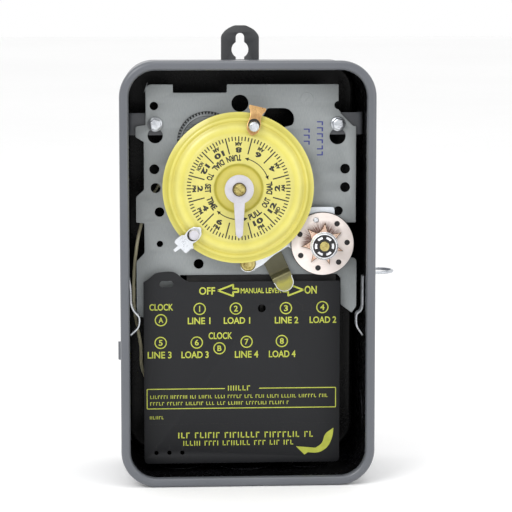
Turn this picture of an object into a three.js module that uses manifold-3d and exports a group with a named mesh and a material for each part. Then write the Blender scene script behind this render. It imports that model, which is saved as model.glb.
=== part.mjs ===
// Mechanical 24-hour time switch with a skip-a-day wheel, in a drawn steel wall case.
// Millimetres, +Z up, the open front faces -Y, +X to the viewer's right.
// The origin is the centre of the wall plane behind the case.
import * as THREE from 'three';
import { mergeVertices } from 'three/addons/utils/BufferGeometryUtils.js';
import Module from 'manifold-3d';

const wasm = await Module();
wasm.setup();

// ---- driving dimensions ----
const GAP = 0.3;
const CASE = { width: 127.4, height: 213.4, depth: 76, corner: 18, wall: 1.5, setIn: 2, lip: 4.7,
  lipDepth: 5.5 };
const TAB = { halfWidth: 9.95, top: 122.4, bottom: 90.5, thick: 1.6, holeZ: 109.8, holeR: 4.4, slotTop: 118.4 };
const PLATE = { front: -50, thick: 1.2 };
const PLATE_BACK = PLATE.front + PLATE.thick;
const DIAL = { x: -4.2, z: 42.7, radius: 38, edgeFront: -60.5, faceFront: -64.5, skin: 1.3, bore: 5.4 };
const SPINDLE_R = 3;
const POINTER = { back: -68.9, thick: 1.1, hubR: 7.3, length: 24.7 };
const LEVER = { x: 8, z: 18.4, back: -51.4, thick: 1.2, front: -57.1, stepStart: 21.5, stepEnd: 22.9,
  tip: 31, tilt: 25 };
const WHEEL = { x: 38.6, z: 13.7, radius: 15.8, back: -56, thick: 1, holes: 7, holeR: 1.4, pitchR: 12.5,
  firstHole: 2.5 };
const BRACKET = { back: -53.2, thick: 1.2 };
const STUD = { x: 1, z: 3.6, headR: 3.9 };
const SHEET = { back: -55.2, thick: 0.8, left: -51.9, right: 47.6, top: -5.3, bottom: -98.6 };
const BLOCK = { front: -48.4, back: -24, left: -50, right: 47, top: -16, bottom: -54 };
const GEAR = { x: -19.3, z: 65.3, radius: 15.1, teeth: 56, back: -51 };
const DIAL_GEAR = { radius: 24.2, teeth: 72, back: -53.4, thick: 1.2 };
const MOTOR = { x: -8.6, z: 51.6, radius: 27, front: -48.4, back: -24 };
const BAR = { x: 12.2, y: -44.5, thick: 3 };
const CONTACT_X = [-24, -6, 12, 30];
const ON_ANGLE = 13.4;
const OFF_ANGLE = 224.6;
const TERMINALS = [
  ['a', -43.1, -25], ['1', -23.6, -25], ['2', -5.2, -25], ['3', 20.1, -25], ['4', 38.7, -25],
  ['5', -43.3, -43], ['6', -26.6, -43], ['b', -9.8, -43], ['7', 3.6, -43], ['8', 20.4, -43],
];

const part = new THREE.Group();
const rad = THREE.MathUtils.degToRad;
const material = (color, roughness, metalness) => new THREE.MeshStandardMaterial({
  color, roughness, metalness,
});
const paint = () => material(0x6f7379, 0.45, 0.3);
const zinc = () => material(0x9a9d9e, 0.42, 0.85);
const brightZinc = () => material(0xd6dade, 0.3, 0.9);
const brass = () => material(0xb49a5a, 0.35, 0.9);
const copper = () => material(0xd69a78, 0.35, 0.9);
const phenolic = () => material(0x1d1b1a, 0.5, 0);

// ---- shared makers ----
function solid(geometry) {
  const flat = geometry.index ? geometry.clone() : geometry;
  flat.deleteAttribute('normal');
  flat.deleteAttribute('uv');
  const merged = mergeVertices(flat, 1e-4);
  const triVerts = [];
  for (let i = 0; i < merged.index.count; i += 3) {
    const [a, b, c] = merged.index.array.slice(i, i + 3);
    if (a !== b && b !== c && c !== a) triVerts.push(a, b, c);
  }
  return new wasm.Manifold(new wasm.Mesh({
    numProp: 3,
    vertProperties: new Float32Array(merged.attributes.position.array),
    triVerts: new Uint32Array(triVerts),
  }));
}

function toGeometry(manifold) {
  const mesh = manifold.getMesh();
  const geometry = new THREE.BufferGeometry();
  geometry.setAttribute('position', new THREE.BufferAttribute(mesh.vertProperties, 3));
  geometry.setIndex(new THREE.BufferAttribute(mesh.triVerts, 1));
  geometry.computeVertexNormals();
  return geometry;
}

function add(name, shape, finish, x = 0, y = 0, z = 0) {
  const geometry = shape.isBufferGeometry ? shape : toGeometry(shape);
  const mesh = new THREE.Mesh(geometry, finish);
  mesh.name = name;
  mesh.position.set(x, y, z);
  part.add(mesh);
  return mesh;
}

// The outline as straight steps, anticlockwise, without the doubled points where an arc meets a line.
function stepped(outline, segments) {
  const apart = (p, q) => p.distanceTo(q) > 1e-4;
  const tidy = (curve) => curve.getPoints(segments)
    .filter((p, i, all) => apart(p, all[(i + 1) % all.length]));
  const points = tidy(outline);
  const shape = new THREE.Shape(THREE.ShapeUtils.isClockWise(points) ? points.reverse() : points);
  shape.holes = outline.holes.map((path) => new THREE.Path(tidy(path)));
  return shape;
}

// A sheet whose outline is drawn in X and Z; it runs from y = back towards the viewer.
function sheet(outline, back, thick, segments = 8) {
  const geometry = new THREE.ExtrudeGeometry(stepped(outline, segments), { depth: thick, bevelEnabled: false });
  return geometry.rotateX(Math.PI / 2).translate(0, back, 0);
}

const pin = (x, z, r, y0, y1, sides = 20) => new THREE.CylinderGeometry(r, r, Math.abs(y1 - y0), sides)
  .translate(x, (y0 + y1) / 2, z);

const block = (x0, x1, y0, y1, z0, z1) => new THREE.BoxGeometry(x1 - x0, Math.abs(y1 - y0), z1 - z0)
  .translate((x0 + x1) / 2, (y0 + y1) / 2, (z0 + z1) / 2);

// Turned about the local Y axis from [radius, y] points, which start and end on the axis or form a ring.
function turned(points, segments, x = 0, z = 0) {
  const profile = points.map(([r, y]) => new THREE.Vector2(r, y));
  if (THREE.ShapeUtils.isClockWise(profile)) profile.reverse();
  if (profile[0].x > 0) profile.push(profile[0]);
  return new THREE.LatheGeometry(profile, segments).translate(x, 0, z);
}

function polygon(points) {
  return new THREE.Shape(points.map(([x, z]) => new THREE.Vector2(x, z)));
}

function roundedRect(halfWidth, halfHeight, r) {
  const shape = new THREE.Shape();
  shape.moveTo(halfWidth, -halfHeight + r);
  shape.absarc(halfWidth - r, halfHeight - r, r, 0, Math.PI / 2);
  shape.absarc(-halfWidth + r, halfHeight - r, r, Math.PI / 2, Math.PI);
  shape.absarc(-halfWidth + r, -halfHeight + r, r, Math.PI, 1.5 * Math.PI);
  shape.absarc(halfWidth - r, -halfHeight + r, r, 1.5 * Math.PI, 2 * Math.PI);
  return shape;
}

function hole(x, z, r) {
  const path = new THREE.Path();
  path.absarc(x, z, r, 0, 2 * Math.PI, true);
  return path;
}

function toothed(teeth, tipR, rootR, boreR) {
  const points = [];
  for (let i = 0; i < 2 * teeth; i++) {
    const r = i % 2 ? rootR : tipR;
    const a = Math.PI * i / teeth;
    points.push([r * Math.cos(a), r * Math.sin(a)]);
  }
  const shape = polygon(points);
  shape.holes.push(hole(0, 0, boreR));
  return shape;
}

// ---- case ----
function caseShell() {
  const halfW = CASE.width / 2;
  const halfH = CASE.height / 2;
  const outerW = halfW - CASE.setIn;
  const outerH = halfH - CASE.setIn;
  const r = CASE.corner - CASE.setIn;
  const bevel = 5;
  const bevelled = (w, h, corner, back, front, round) => new THREE.ExtrudeGeometry(
    stepped(roundedRect(w - round, h - round, corner - round), 7),
    { depth: front - back - 2 * round, bevelEnabled: true, bevelThickness: round, bevelSize: round,
      bevelSegments: 3 },
  ).rotateX(Math.PI / 2).translate(0, -back - round, 0);
  const body = solid(bevelled(outerW, outerH, r, 0, CASE.depth + 3, bevel));
  const trim = solid(block(-halfW - 5, halfW + 5, -CASE.depth - 9, -CASE.depth + 2.5, -halfH - 5, halfH + 5));
  const t = CASE.wall;
  const cavity = solid(bevelled(outerW - t, outerH - t, r - t, t, CASE.depth + 12, bevel - t));
  const lipShape = roundedRect(halfW - 2, halfH - 2, CASE.corner - 2);
  const inner = CASE.lip - 2;
  lipShape.holes.push(roundedRect(halfW - inner, halfH - inner, CASE.corner - inner));
  const lip = solid(new THREE.ExtrudeGeometry(stepped(lipShape, 7), {
    depth: CASE.lipDepth - 4, bevelEnabled: true, bevelThickness: 2, bevelSize: 2, bevelSegments: 3,
  }).rotateX(Math.PI / 2).translate(0, -CASE.depth + CASE.lipDepth - 2, 0));
  const pad = solid(block(-13, 13, -4.2, -1, 86, outerH - 3));
  const pocket = solid(block(-TAB.halfWidth - GAP, TAB.halfWidth + GAP, -TAB.thick - GAP, 1, 90.2, 110));
  const shell = body.subtract(trim).subtract(cavity).add(pad).subtract(pocket).add(lip);
  add('case_shell', shell, paint());
}

function hangerTab() {
  const w = TAB.halfWidth;
  const shape = new THREE.Shape();
  shape.moveTo(-w, TAB.bottom);
  shape.lineTo(w, TAB.bottom);
  shape.lineTo(w, 117);
  shape.quadraticCurveTo(7.5, TAB.top, 0, TAB.top);
  shape.quadraticCurveTo(-7.5, TAB.top, -w, 117);
  shape.closePath();
  const key = new THREE.Path();
  const slot = 2.2;
  const start = Math.acos(slot / TAB.holeR);
  key.absarc(0, TAB.slotTop - slot, slot, Math.PI, 0, true);
  key.absarc(0, TAB.holeZ, TAB.holeR, start, -Math.PI / 2 + 0.9, true);
  key.lineTo(slot, 104.5);
  key.lineTo(-slot, 104.5);
  key.absarc(0, TAB.holeZ, TAB.holeR, 1.5 * Math.PI - 0.9, Math.PI - start, true);
  shape.holes.push(key);
  add('hanger_tab', sheet(shape, 0, TAB.thick), paint());
}

function upperBrackets() {
  for (const [side, s, outer, inner] of [['left', -1, 59.7, 41.5], ['right', 1, 59.9, 42.5]]) {
    const face = solid(block(...sorted(s * outer, s * inner), -48.5, -47.3, 68.4, 79.6));
    const leg = solid(block(...sorted(s * outer, s * (outer - 1.2)), -47.6, -30, 68.4, 79.6));
    add(`${side}_plate_bracket`, face.add(leg), zinc());
  }
}

const sorted = (a, b) => (a < b ? [a, b] : [b, a]);

// A bent leaf: a ribbon of the given thickness along points in X and Z.
function leaf(points, thick, back, deep) {
  const left = [];
  const right = [];
  points.forEach(([x, z], i) => {
    const a = points[Math.max(i - 1, 0)];
    const b = points[Math.min(i + 1, points.length - 1)];
    const length = Math.hypot(b[0] - a[0], b[1] - a[1]);
    const nx = -(b[1] - a[1]) / length * thick / 2;
    const nz = (b[0] - a[0]) / length * thick / 2;
    left.push([x + nx, z + nz]);
    right.unshift([x - nx, z - nz]);
  });
  return sheet(polygon([...left, ...right]), back, deep);
}

function springClips() {
  const leftPath = [[-59.3, -3], [-58.4, -8], [-58.2, -17], [-56.8, -20], [-54.4, -22.6], [-53.9, -25.4],
    [-54.4, -28.4], [-58.6, -32.2]];
  const rightPath = [[59.3, -3], [59.2, -8], [59.2, -18.2], [58.6, -20.6], [56.9, -21.8], [55.9, -24],
    [56.1, -28.5], [59.2, -33.2]];
  add('left_spring_clip', leaf(leftPath, 1.1, -50.6, 6), brightZinc());
  add('right_spring_clip', leaf(rightPath, 1.1, -50.6, 6), brightZinc());
}

function padlockStaple() {
  const wall = CASE.width / 2 - CASE.setIn + GAP;
  const legs = new THREE.CurvePath();
  const reach = 66;
  const halfSpan = 8;
  const y = -56.5;
  const z = -0.2;
  const leg = (x0, x1, legY) => new THREE.LineCurve3(
    new THREE.Vector3(x0, legY, z), new THREE.Vector3(x1, legY, z));
  legs.add(leg(wall, reach, y - halfSpan));
  const bow = new THREE.CatmullRomCurve3([0, 30, 60, 90, 120, 150, 180].map((a) => new THREE.Vector3(
    reach + halfSpan * Math.sin(rad(a)), y - halfSpan * Math.cos(rad(a)), z)));
  legs.add(bow);
  legs.add(leg(reach, wall, y + halfSpan));
  const section = new THREE.Shape().absarc(0, 0, 0.8, 0, 2 * Math.PI);
  add('padlock_staple', new THREE.ExtrudeGeometry(section, { extrudePath: legs, steps: 22, curveSegments: 5 }),
    brightZinc());
}

function lidHingeLug() {
  const x = -CASE.width / 2 + 0.4;
  const lug = new THREE.CylinderGeometry(1.6, 1.6, 9, 14).rotateX(Math.PI / 2).translate(x, -67.9, -38);
  add('lid_hinge_pin', lug, zinc());
}

// ---- mechanism plate ----
function mechanismPlate() {
  const shape = new THREE.Shape();
  shape.moveTo(-47.3, 94);
  shape.lineTo(-36.5, 94);
  shape.lineTo(-36.5, 89.8);
  shape.lineTo(-9.35, 89.8);
  shape.lineTo(-9.35, 94);
  shape.lineTo(47.1, 93.9);
  shape.lineTo(47.1, 85.4);
  shape.absarc(47.1, 83.3, 2.1, Math.PI / 2, 1.5 * Math.PI);
  shape.lineTo(48.1, 79.3);
  shape.lineTo(54.7, 72.7);
  shape.lineTo(56.1, 72.7);
  shape.lineTo(56.1, 23.7);
  shape.lineTo(49.5, 23.7);
  shape.lineTo(49.5, 5.7);
  shape.absarc(54.4, 3.5, 2.2, Math.PI / 2, 0, true);
  shape.lineTo(56.6, -19.2);
  shape.lineTo(54.3, -22.6);
  shape.lineTo(48.5, -18.3);
  shape.lineTo(48.5, -4.8);
  shape.lineTo(46.6, -2.6);
  shape.lineTo(-33.3, -2.6);
  shape.lineTo(-33.3, -13.6);
  shape.lineTo(-50.5, -13.6);
  shape.lineTo(-50.5, -24);
  shape.lineTo(-55.3, -24);
  shape.lineTo(-55.3, 4.4);
  shape.lineTo(-53.9, 5.8);
  shape.lineTo(-51.2, 8.8);
  shape.lineTo(-51.2, 23.9);
  shape.lineTo(-55.3, 24.4);
  shape.lineTo(-55.3, 37.3);
  shape.lineTo(-51.3, 40.9);
  shape.lineTo(-51.3, 65.1);
  shape.lineTo(-55.4, 67.6);
  shape.lineTo(-55.4, 72.9);
  shape.lineTo(-50.3, 73.6);
  shape.lineTo(-50.3, 91);
  shape.absarc(-47.3, 91, 3, Math.PI, Math.PI / 2, true);
  const round = [
    [-46.1, 83.2, 2.1], [-45.5, 74, 1.9], [-45.5, 68.3, 3.2], [-46, 51.3, 2.5], [-45.4, 41.8, 2.5],
    [-43.5, 29.6, 2.4], [-43.4, 13.4, 1.6], [-23.8, 3.1, 2.5], [-2.75, 84.4, 4.3], [50.6, 51.1, 2.5], [50.6, 41.7, 2.5],
    [47.2, 29.7, 2.3], [46.8, 73.9, 1.9], [46.7, 67.6, 3.4], [MOTOR.x, MOTOR.z, 4.2], [LEVER.x, LEVER.z, 3.2],
  ];
  for (const [x, z, r] of round) shape.holes.push(hole(x, z, r));
  const pear = new THREE.Path();
  pear.absarc(19.1, 76.4, 5.5, -0.6, Math.PI / 2);
  pear.lineTo(11, 81.9);
  pear.lineTo(8, 76);
  pear.lineTo(16, 71.4);
  shape.holes.push(pear);
  add('mechanism_plate', sheet(shape, PLATE_BACK, PLATE.thick, 7), zinc());
}

function plateScrews() {
  const slot = (angle) => solid(block(-5, 5, -0.9, 1, -0.5, 0.5).rotateY(rad(angle)).translate(0, -54.6, 0));
  const places = [['left_plate_screw', -45.5, 74, 60], ['right_plate_screw', 46.8, 73.9, 15]];
  for (const [name, x, z, angle] of places) {
    const washer = solid(pin(0, 0, 3.7, -50.3, -51.2));
    const head = solid(pin(0, 0, 2.9, -51, -54.2, 6));
    const shank = solid(pin(0, 0, 1.5, -51, -48.9, 12));
    const screw = washer.add(head).add(shank).subtract(slot(angle));
    add(name, screw, brightZinc(), x, 0, z);
  }
}

// ---- drive ----
function motor() {
  const can = turned([[MOTOR.radius, MOTOR.front], [MOTOR.radius, MOTOR.back], [3.6, MOTOR.back],
    [3.6, MOTOR.front]], 28, MOTOR.x, MOTOR.z);
  add('clock_motor', can, zinc());
  const shaft = solid(pin(MOTOR.x, MOTOR.z, 1.2, -26, -50.4, 12));
  const leafs = solid(sheet(toothed(8, 2, 1.3, 0.4), 0, 1.7).translate(MOTOR.x, -50.4, MOTOR.z));
  const core = solid(pin(MOTOR.x, MOTOR.z, 1.2, -50, -52.1, 12));
  add('motor_pinion', shaft.add(leafs).add(core), brass());
}

function reductionGear() {
  add('gear_post', pin(GEAR.x, GEAR.z, 1.2, PLATE.front - GAP, -55.5, 12), brass());
  const wheel = solid(sheet(toothed(GEAR.teeth, GEAR.radius, GEAR.radius - 0.9, 1.5), GEAR.back, 1.4)
    .translate(GEAR.x, 0, GEAR.z));
  const pinion = solid(sheet(toothed(8, 2.6, 1.9, 1.5), GEAR.back - 1.2, 2.5)
    .translate(GEAR.x, 0, GEAR.z));
  add('reduction_gear', wheel.add(pinion), zinc());
}

function dialDrive() {
  add('dial_spindle', turned([[0, PLATE.front - GAP], [6, PLATE.front - GAP], [6, -52.6], [SPINDLE_R, -52.8],
    [SPINDLE_R, -68.6], [0, -68.6]], 20, DIAL.x, DIAL.z), brass());
  const wheel = sheet(toothed(DIAL_GEAR.teeth, DIAL_GEAR.radius, DIAL_GEAR.radius - 1, SPINDLE_R + GAP),
    DIAL_GEAR.back, DIAL_GEAR.thick).translate(DIAL.x, 0, DIAL.z);
  add('dial_gear', wheel, brass());
  add('dial_sleeve', turned([[SPINDLE_R + GAP, -58.2], [5.1, -58.2], [5.1, -65.2],
    [SPINDLE_R + GAP, -65.2]], 20, DIAL.x, DIAL.z), brass());
  add('dial_spring', clutchSpring(), brightZinc(), DIAL.x, 0, DIAL.z);
}

// A coil between the drive gear and the dial's sleeve, standing clear of the spindle.
function clutchSpring() {
  const turns = 2;
  const r = 4.3;
  const points = [];
  for (let i = 0; i <= 12 * turns; i++) {
    const a = 2 * Math.PI * i / 12;
    points.push(new THREE.Vector3(r * Math.cos(a), -55.2 - 2.4 * i / (12 * turns), r * Math.sin(a)));
  }
  const section = new THREE.Shape().absarc(0, 0, 0.3, 0, 2 * Math.PI);
  return new THREE.ExtrudeGeometry(section, { extrudePath: new THREE.CatmullRomCurve3(points), steps: 36,
    curveSegments: 3 });
}

function dial() {
  const front = [[DIAL.bore, -63.4], [11.6, -63.4], [12.6, DIAL.faceFront], [26.4, DIAL.faceFront],
    [27.4, -64.1], [30, -63.9], [33, -62.9], [35.6, -61.5], [DIAL.radius, DIAL.edgeFront]];
  const back = front.map(([r, y]) => [r, y + DIAL.skin]).reverse();
  add('dial', turned([...front, ...back], 56, DIAL.x, DIAL.z), material(0xe6dc62, 0.5, 0));
}

function pointer() {
  const front = POINTER.back - POINTER.thick;
  const hub = solid(turned([[1.9, POINTER.back], [POINTER.hubR, POINTER.back], [POINTER.hubR, front],
    [1.9, front]], 28));
  const blade = solid(sheet(polygon([[-2.9, -5], [-1.4, -POINTER.length + 1.4], [0, -POINTER.length],
    [1.4, -POINTER.length + 1.4], [2.9, -5]]), POINTER.back, POINTER.thick));
  add('pointer', hub.add(blade), material(0xece9dc, 0.45, 0), DIAL.x, 0, DIAL.z);
  const headBack = front - GAP;
  const screw = solid(turned([[0, headBack + 1.2], [1.6, headBack + 1.2], [1.6, headBack], [3, headBack],
    [3, headBack - 1.3], [2.3, headBack - 2], [0, headBack - 2]], 20));
  const slot = solid(block(-4, 4, headBack - 3, headBack - 1.1, -0.45, 0.45).rotateY(rad(-40)));
  add('pointer_screw', screw.subtract(slot), brass(), DIAL.x, 0, DIAL.z);
}

// A clip-on tripper, drawn pointing up (+Z) from the dial axis, then turned to its place.
function tripper(tongue) {
  const neck = new THREE.Shape();
  neck.moveTo(-3.1, 38.4);
  neck.lineTo(-3.3, 33.5);
  neck.absarc(0, 32, 3.5, Math.PI - 0.44, 1.5 * Math.PI - 0.5);
  neck.lineTo(0, 27.2);
  neck.absarc(0, 32, 3.5, 1.5 * Math.PI + 0.5, 0.44);
  neck.lineTo(3.1, 38.4);
  const slope = Math.atan2(3.4, 11);
  const arm = solid(sheet(neck, 0, 0.9).translate(0, 0, -38.4).rotateX(-slope).translate(0, -61.9, 38.4));
  const head = solid(sheet(polygon([[-3.1, 38], [3.1, 38], [4.3, 40.2], [4.1, 41.9], [-4.1, 41.9],
    [-4.3, 40.2]]), -61.3, 1.2));
  const wrap = solid(block(-3, 3, -62, -58, 38.35, 39.3));
  const jaw = solid(block(-3, 3, -58.8, -58, 35.4, 39.3));
  let clip = arm.add(head).add(wrap).add(jaw);
  if (tongue) clip = clip.add(solid(block(-1.4, 1.4, -61.8, -61, 41.5, 45.2)));
  return toGeometry(clip);
}

function trippers() {
  const finishes = { on: material(0xc9a067, 0.4, 0.85), off: brightZinc() };
  for (const [name, angle] of [['on', ON_ANGLE], ['off', OFF_ANGLE]]) {
    const turn = rad(angle);
    const clip = add(`${name}_tripper`, tripper(name === 'off'), finishes[name], DIAL.x, 0, DIAL.z);
    clip.rotation.y = turn;
    const knob = turned([[0, -66], [2.6, -66], [2.6, -69.2], [2.1, -69.8], [0, -69.8]], 16, 0, 32);
    const screw = add(`${name}_tripper_screw`, knob, name === 'on' ? brightZinc() : brass(), DIAL.x, 0, DIAL.z);
    screw.rotation.y = turn;
  }
}

// ---- manual lever and switch ----
function manualLever() {
  const { back, thick, front, stepStart, stepEnd, tip } = LEVER;
  const hub = solid(pin(0, 0, 6, back, back - thick, 24));
  const arm = solid(sheet(polygon([[-5.4, -2], [5.4, -2], [5.8, -15], [5.2, -stepEnd], [-5.2, -stepEnd],
    [-5.8, -15]]), back, thick));
  const bore = solid(pin(0, 0, 2.3, back + 2, back - thick - 2, 16));
  const profile = polygon([[back, -stepStart + 0.6], [back - thick, -stepStart + 0.6],
    [back - thick, -stepStart], [front - thick, -stepStart - 0.2], [front - thick, -stepEnd - 0.6], [front, -stepEnd], [back, -stepEnd]]);
  const step = solid(new THREE.ExtrudeGeometry(profile, { depth: 10.4, bevelEnabled: false })
    .applyMatrix4(new THREE.Matrix4().set(0, 0, 1, -5.2, 1, 0, 0, 0, 0, 1, 0, 0, 0, 0, 0, 1)));
  const blade = new THREE.Shape();
  blade.moveTo(-5.2, -stepEnd + 0.6);
  blade.lineTo(-4.6, -tip + 4.6);
  blade.absarc(0, -tip + 4.6, 4.6, Math.PI, 2 * Math.PI);
  blade.lineTo(5.2, -stepEnd + 0.6);
  const lever = hub.add(arm).subtract(bore).add(step).add(solid(sheet(blade, front, thick)));
  const mesh = add('manual_lever', lever, material(0x7c7a5c, 0.35, 0.85), LEVER.x, 0, LEVER.z);
  mesh.rotation.y = -rad(LEVER.tilt);
  add('lever_shaft', pin(LEVER.x, LEVER.z, 2, -45, -52.8, 16), brightZinc());
}

function switchCam() {
  const plate = solid(sheet(polygon([[-3.4, 3.4], [3.4, 3.4], [3.4, -2], [1.6, -6], [-1.6, -6], [-3.4, -2]]),
    -44.9, 2.6)).subtract(solid(pin(0, 0, 2.3, -40, -50, 16)));
  const peg = solid(pin(0, -10, 1.5, -44.9, -47.5, 14));
  const neck = solid(block(-1.5, 1.5, -47.5, -44.9, -10, -5));
  const cam = add('switch_cam', plate.add(neck).add(peg), phenolic(), LEVER.x, 0, LEVER.z);
  cam.rotation.y = -rad(LEVER.tilt);
}

function contactBar() {
  const comb = block(-42, 34, BAR.y - BAR.thick, BAR.y, -9, -3);
  const stemLeft = block(-5.2, -2.4, BAR.y - BAR.thick, BAR.y, -3.2, 10.2);
  const stemRight = block(2.4, 5.2, BAR.y - BAR.thick, BAR.y, -3.2, 10.2);
  const bar = solid(comb).add(solid(stemLeft)).add(solid(stemRight));
  add('contact_bar', bar, phenolic(), BAR.x, 0, 0);
  CONTACT_X.forEach((x, i) => {
    add(`moving_contact_${i + 1}`, block(x - 3, x + 3, BAR.y + GAP, BAR.y + 1.2, -11.5, -3), copper());
    const foot = solid(block(x - 2.6, x + 2.6, BAR.y + 1.5, BAR.y + 2.5, -15.6, -9.5));
    const tail = solid(block(x - 2.6, x + 2.6, BAR.y + 2.2, BAR.y + 5, -15.6, -14.6));
    add(`fixed_contact_${i + 1}`, foot.add(tail), copper());
  });
}

// ---- skip-a-day wheel ----
function skipBracket() {
  const shape = new THREE.Shape();
  shape.moveTo(-2.7, 5);
  shape.absarc(STUD.x, STUD.z, 4.4, Math.PI + 0.6, 1.5 * Math.PI + 0.75);
  shape.lineTo(8.6, 3);
  shape.lineTo(13.6, 7.4);
  shape.lineTo(21.5, 12.4);
  shape.lineTo(27, 6);
  shape.lineTo(50, 6);
  shape.lineTo(50, 17);
  shape.lineTo(44.9, 22);
  shape.lineTo(44.9, 30.4);
  shape.absarc(43.2, 30.4, 1.7, 0, Math.PI / 2);
  shape.lineTo(33, 32.1);
  shape.lineTo(26.5, 25);
  shape.lineTo(14, 16);
  shape.lineTo(2, 9.4);
  shape.lineTo(-2.6, 8);
  shape.holes.push(hole(STUD.x, STUD.z, 2.3), hole(WHEEL.x, WHEEL.z, 2.6));
  const foot = solid(block(39, 44.5, BRACKET.back - 0.2, PLATE.front - GAP, 25.5, 30));
  add('skip_bracket', solid(sheet(shape, BRACKET.back, BRACKET.thick)).add(foot), material(0xe2e7ea, 0.4, 0.6));
}

function bracketStud() {
  const back = BRACKET.back - BRACKET.thick - GAP;
  const shank = solid(pin(0, 0, 2, BRACKET.back + GAP, back, 16));
  const head = solid(pin(0, 0, STUD.headR, back, back - 1.3, 24));
  const notch = solid(block(-0.9, 0.9, back - 2, back - 0.6, -5, -1.6));
  add('bracket_stud', shank.add(head).subtract(notch), brass(), STUD.x, 0, STUD.z);
}

function skipWheel() {
  const disc = new THREE.Shape().absarc(0, 0, WHEEL.radius, 0, 2 * Math.PI);
  disc.holes.push(hole(0, 0, 2.6));
  for (let i = 0; i < WHEEL.holes; i++) {
    const a = rad(WHEEL.firstHole) + 2 * Math.PI * i / WHEEL.holes;
    disc.holes.push(hole(WHEEL.pitchR * Math.cos(a), WHEEL.pitchR * Math.sin(a), WHEEL.holeR));
  }
  add('skip_disc', sheet(disc, WHEEL.back, WHEEL.thick, 10), material(0xdccbc4, 0.45, 0.3),
    WHEEL.x, 0, WHEEL.z);
  const pinAngle = rad(WHEEL.firstHole) + 2 * Math.PI * 2 / WHEEL.holes;
  add('skip_pin', turned([[0, -54.7], [1.05, -54.7], [1.05, -57.4], [0.6, -57.7], [0, -57.7]], 12,
    WHEEL.x + WHEEL.pitchR * Math.cos(pinAngle), WHEEL.z + WHEEL.pitchR * Math.sin(pinAngle)), brightZinc());
  add('skip_star', starSpring(), copper(), WHEEL.x, 0, WHEEL.z);
  const post = turned([[0, PLATE.front - GAP], [2.2, PLATE.front - GAP], [2.2, -68.2], [2.6, -68.2], [2.6, -69],
    [0, -69]], 18, WHEEL.x, WHEEL.z);
  add('wheel_post', post, brass());
  add('push_nut', turned([[2.6, -66], [7.05, -66], [7.05, -66.6], [5.9, -67.9], [2.6, -67.9]], 32,
    WHEEL.x, WHEEL.z), material(0x2b2a2c, 0.35, 0.6));
}

// Seven leaf teeth whose tips press on the disc, on a waisted collar under the push nut.
function starSpring() {
  const front = WHEEL.back - WHEEL.thick - GAP;
  const shape = new THREE.Shape();
  for (let i = 0; i < WHEEL.holes; i++) {
    const a = 2 * Math.PI * i / WHEEL.holes + rad(27);
    const tip = [9.8 * Math.cos(a), 9.8 * Math.sin(a)];
    const root = [5.2 * Math.cos(a + 0.45), 5.2 * Math.sin(a + 0.45)];
    if (i === 0) shape.moveTo(...tip);
    else shape.lineTo(...tip);
    shape.lineTo(...root);
  }
  shape.closePath();
  const teeth = solid(sheet(shape, front, 0.8));
  const collar = solid(turned([[0, front], [5, front], [5, front - 6], [5.4, -65.7], [0, -65.7]], 24));
  return toGeometry(teeth.add(collar).subtract(solid(pin(0, 0, 2.6, -50, -70, 16))));
}

// ---- wiring compartment ----
function insulator() {
  const shape = new THREE.Shape();
  shape.moveTo(SHEET.left, SHEET.top);
  shape.lineTo(SHEET.left, SHEET.bottom + 2.5);
  shape.absarc(SHEET.left + 2.5, SHEET.bottom + 2.5, 2.5, Math.PI, 1.5 * Math.PI);
  shape.absarc(SHEET.right - 2.5, SHEET.bottom + 2.5, 2.5, 1.5 * Math.PI, 2 * Math.PI);
  shape.lineTo(SHEET.right, SHEET.top - 1);
  shape.lineTo(SHEET.right - 1, SHEET.top);
  shape.lineTo(-29.2, SHEET.top);
  shape.lineTo(-31.5, -4);
  shape.quadraticCurveTo(-36, -0.4, -38.5, 0);
  shape.lineTo(-40.5, 0);
  shape.quadraticCurveTo(-46, -0.6, -49.5, -4);
  const oblong = new THREE.Path();
  oblong.absarc(-42.2, -6.4, 1.6, Math.PI / 2, 1.5 * Math.PI);
  oblong.absarc(-38.4, -6.4, 1.6, 1.5 * Math.PI, 2.5 * Math.PI);
  shape.holes.push(oblong, hole(7.9, -19.1, 2));
  for (const x of [-45.8, -39.2, -32.6]) shape.holes.push(hole(x, -93, 1.1));
  add('insulator', sheet(shape, SHEET.back, SHEET.thick), material(0x2d2f33, 0.55, 0));
}

function terminalBlock() {
  const { front, back, left, right, top, bottom } = BLOCK;
  let body = solid(block(left, right, front + 7, back, bottom, top));
  body = body.add(solid(block(left, right, front, front + 8, -35.2, -33)));
  const walls = [left, -34, -15, 7.5, 29.5, right - 1.6];
  for (const x of walls) body = body.add(solid(block(x, x + 1.6, front, front + 8, bottom, top)));
  add('terminal_block', body, phenolic());
}

function terminalScrews() {
  for (const [name, x, z] of TERMINALS) {
    const head = solid(pin(0, 0, 3.2, BLOCK.front + 6.7, BLOCK.front + 4, 12));
    const slot = solid(block(-4, 4, BLOCK.front + 3, BLOCK.front + 4.8, -0.5, 0.5));
    add(`terminal_screw_${name}`, head.subtract(slot), brass(), x, 0, z);
  }
}

function motorLead() {
  const points = [[-36, -38, 50], [-46, -40, 40], [-54, -44, 20], [-56.6, -46, 0], [-56.8, -46, -20],
    [-54.5, -47, -32], [-53, -47.2, -40], [-53.4, -45, -50], [-50, -42, -58]];
  const path = new THREE.CatmullRomCurve3(points.map(([x, y, z]) => new THREE.Vector3(x, y, z)));
  const section = new THREE.Shape().absarc(0, 0, 0.9, 0, 2 * Math.PI);
  add('motor_lead', new THREE.ExtrudeGeometry(section, { extrudePath: path, steps: 30, curveSegments: 4 }),
    material(0xc8c2a4, 0.6, 0));
}

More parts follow.
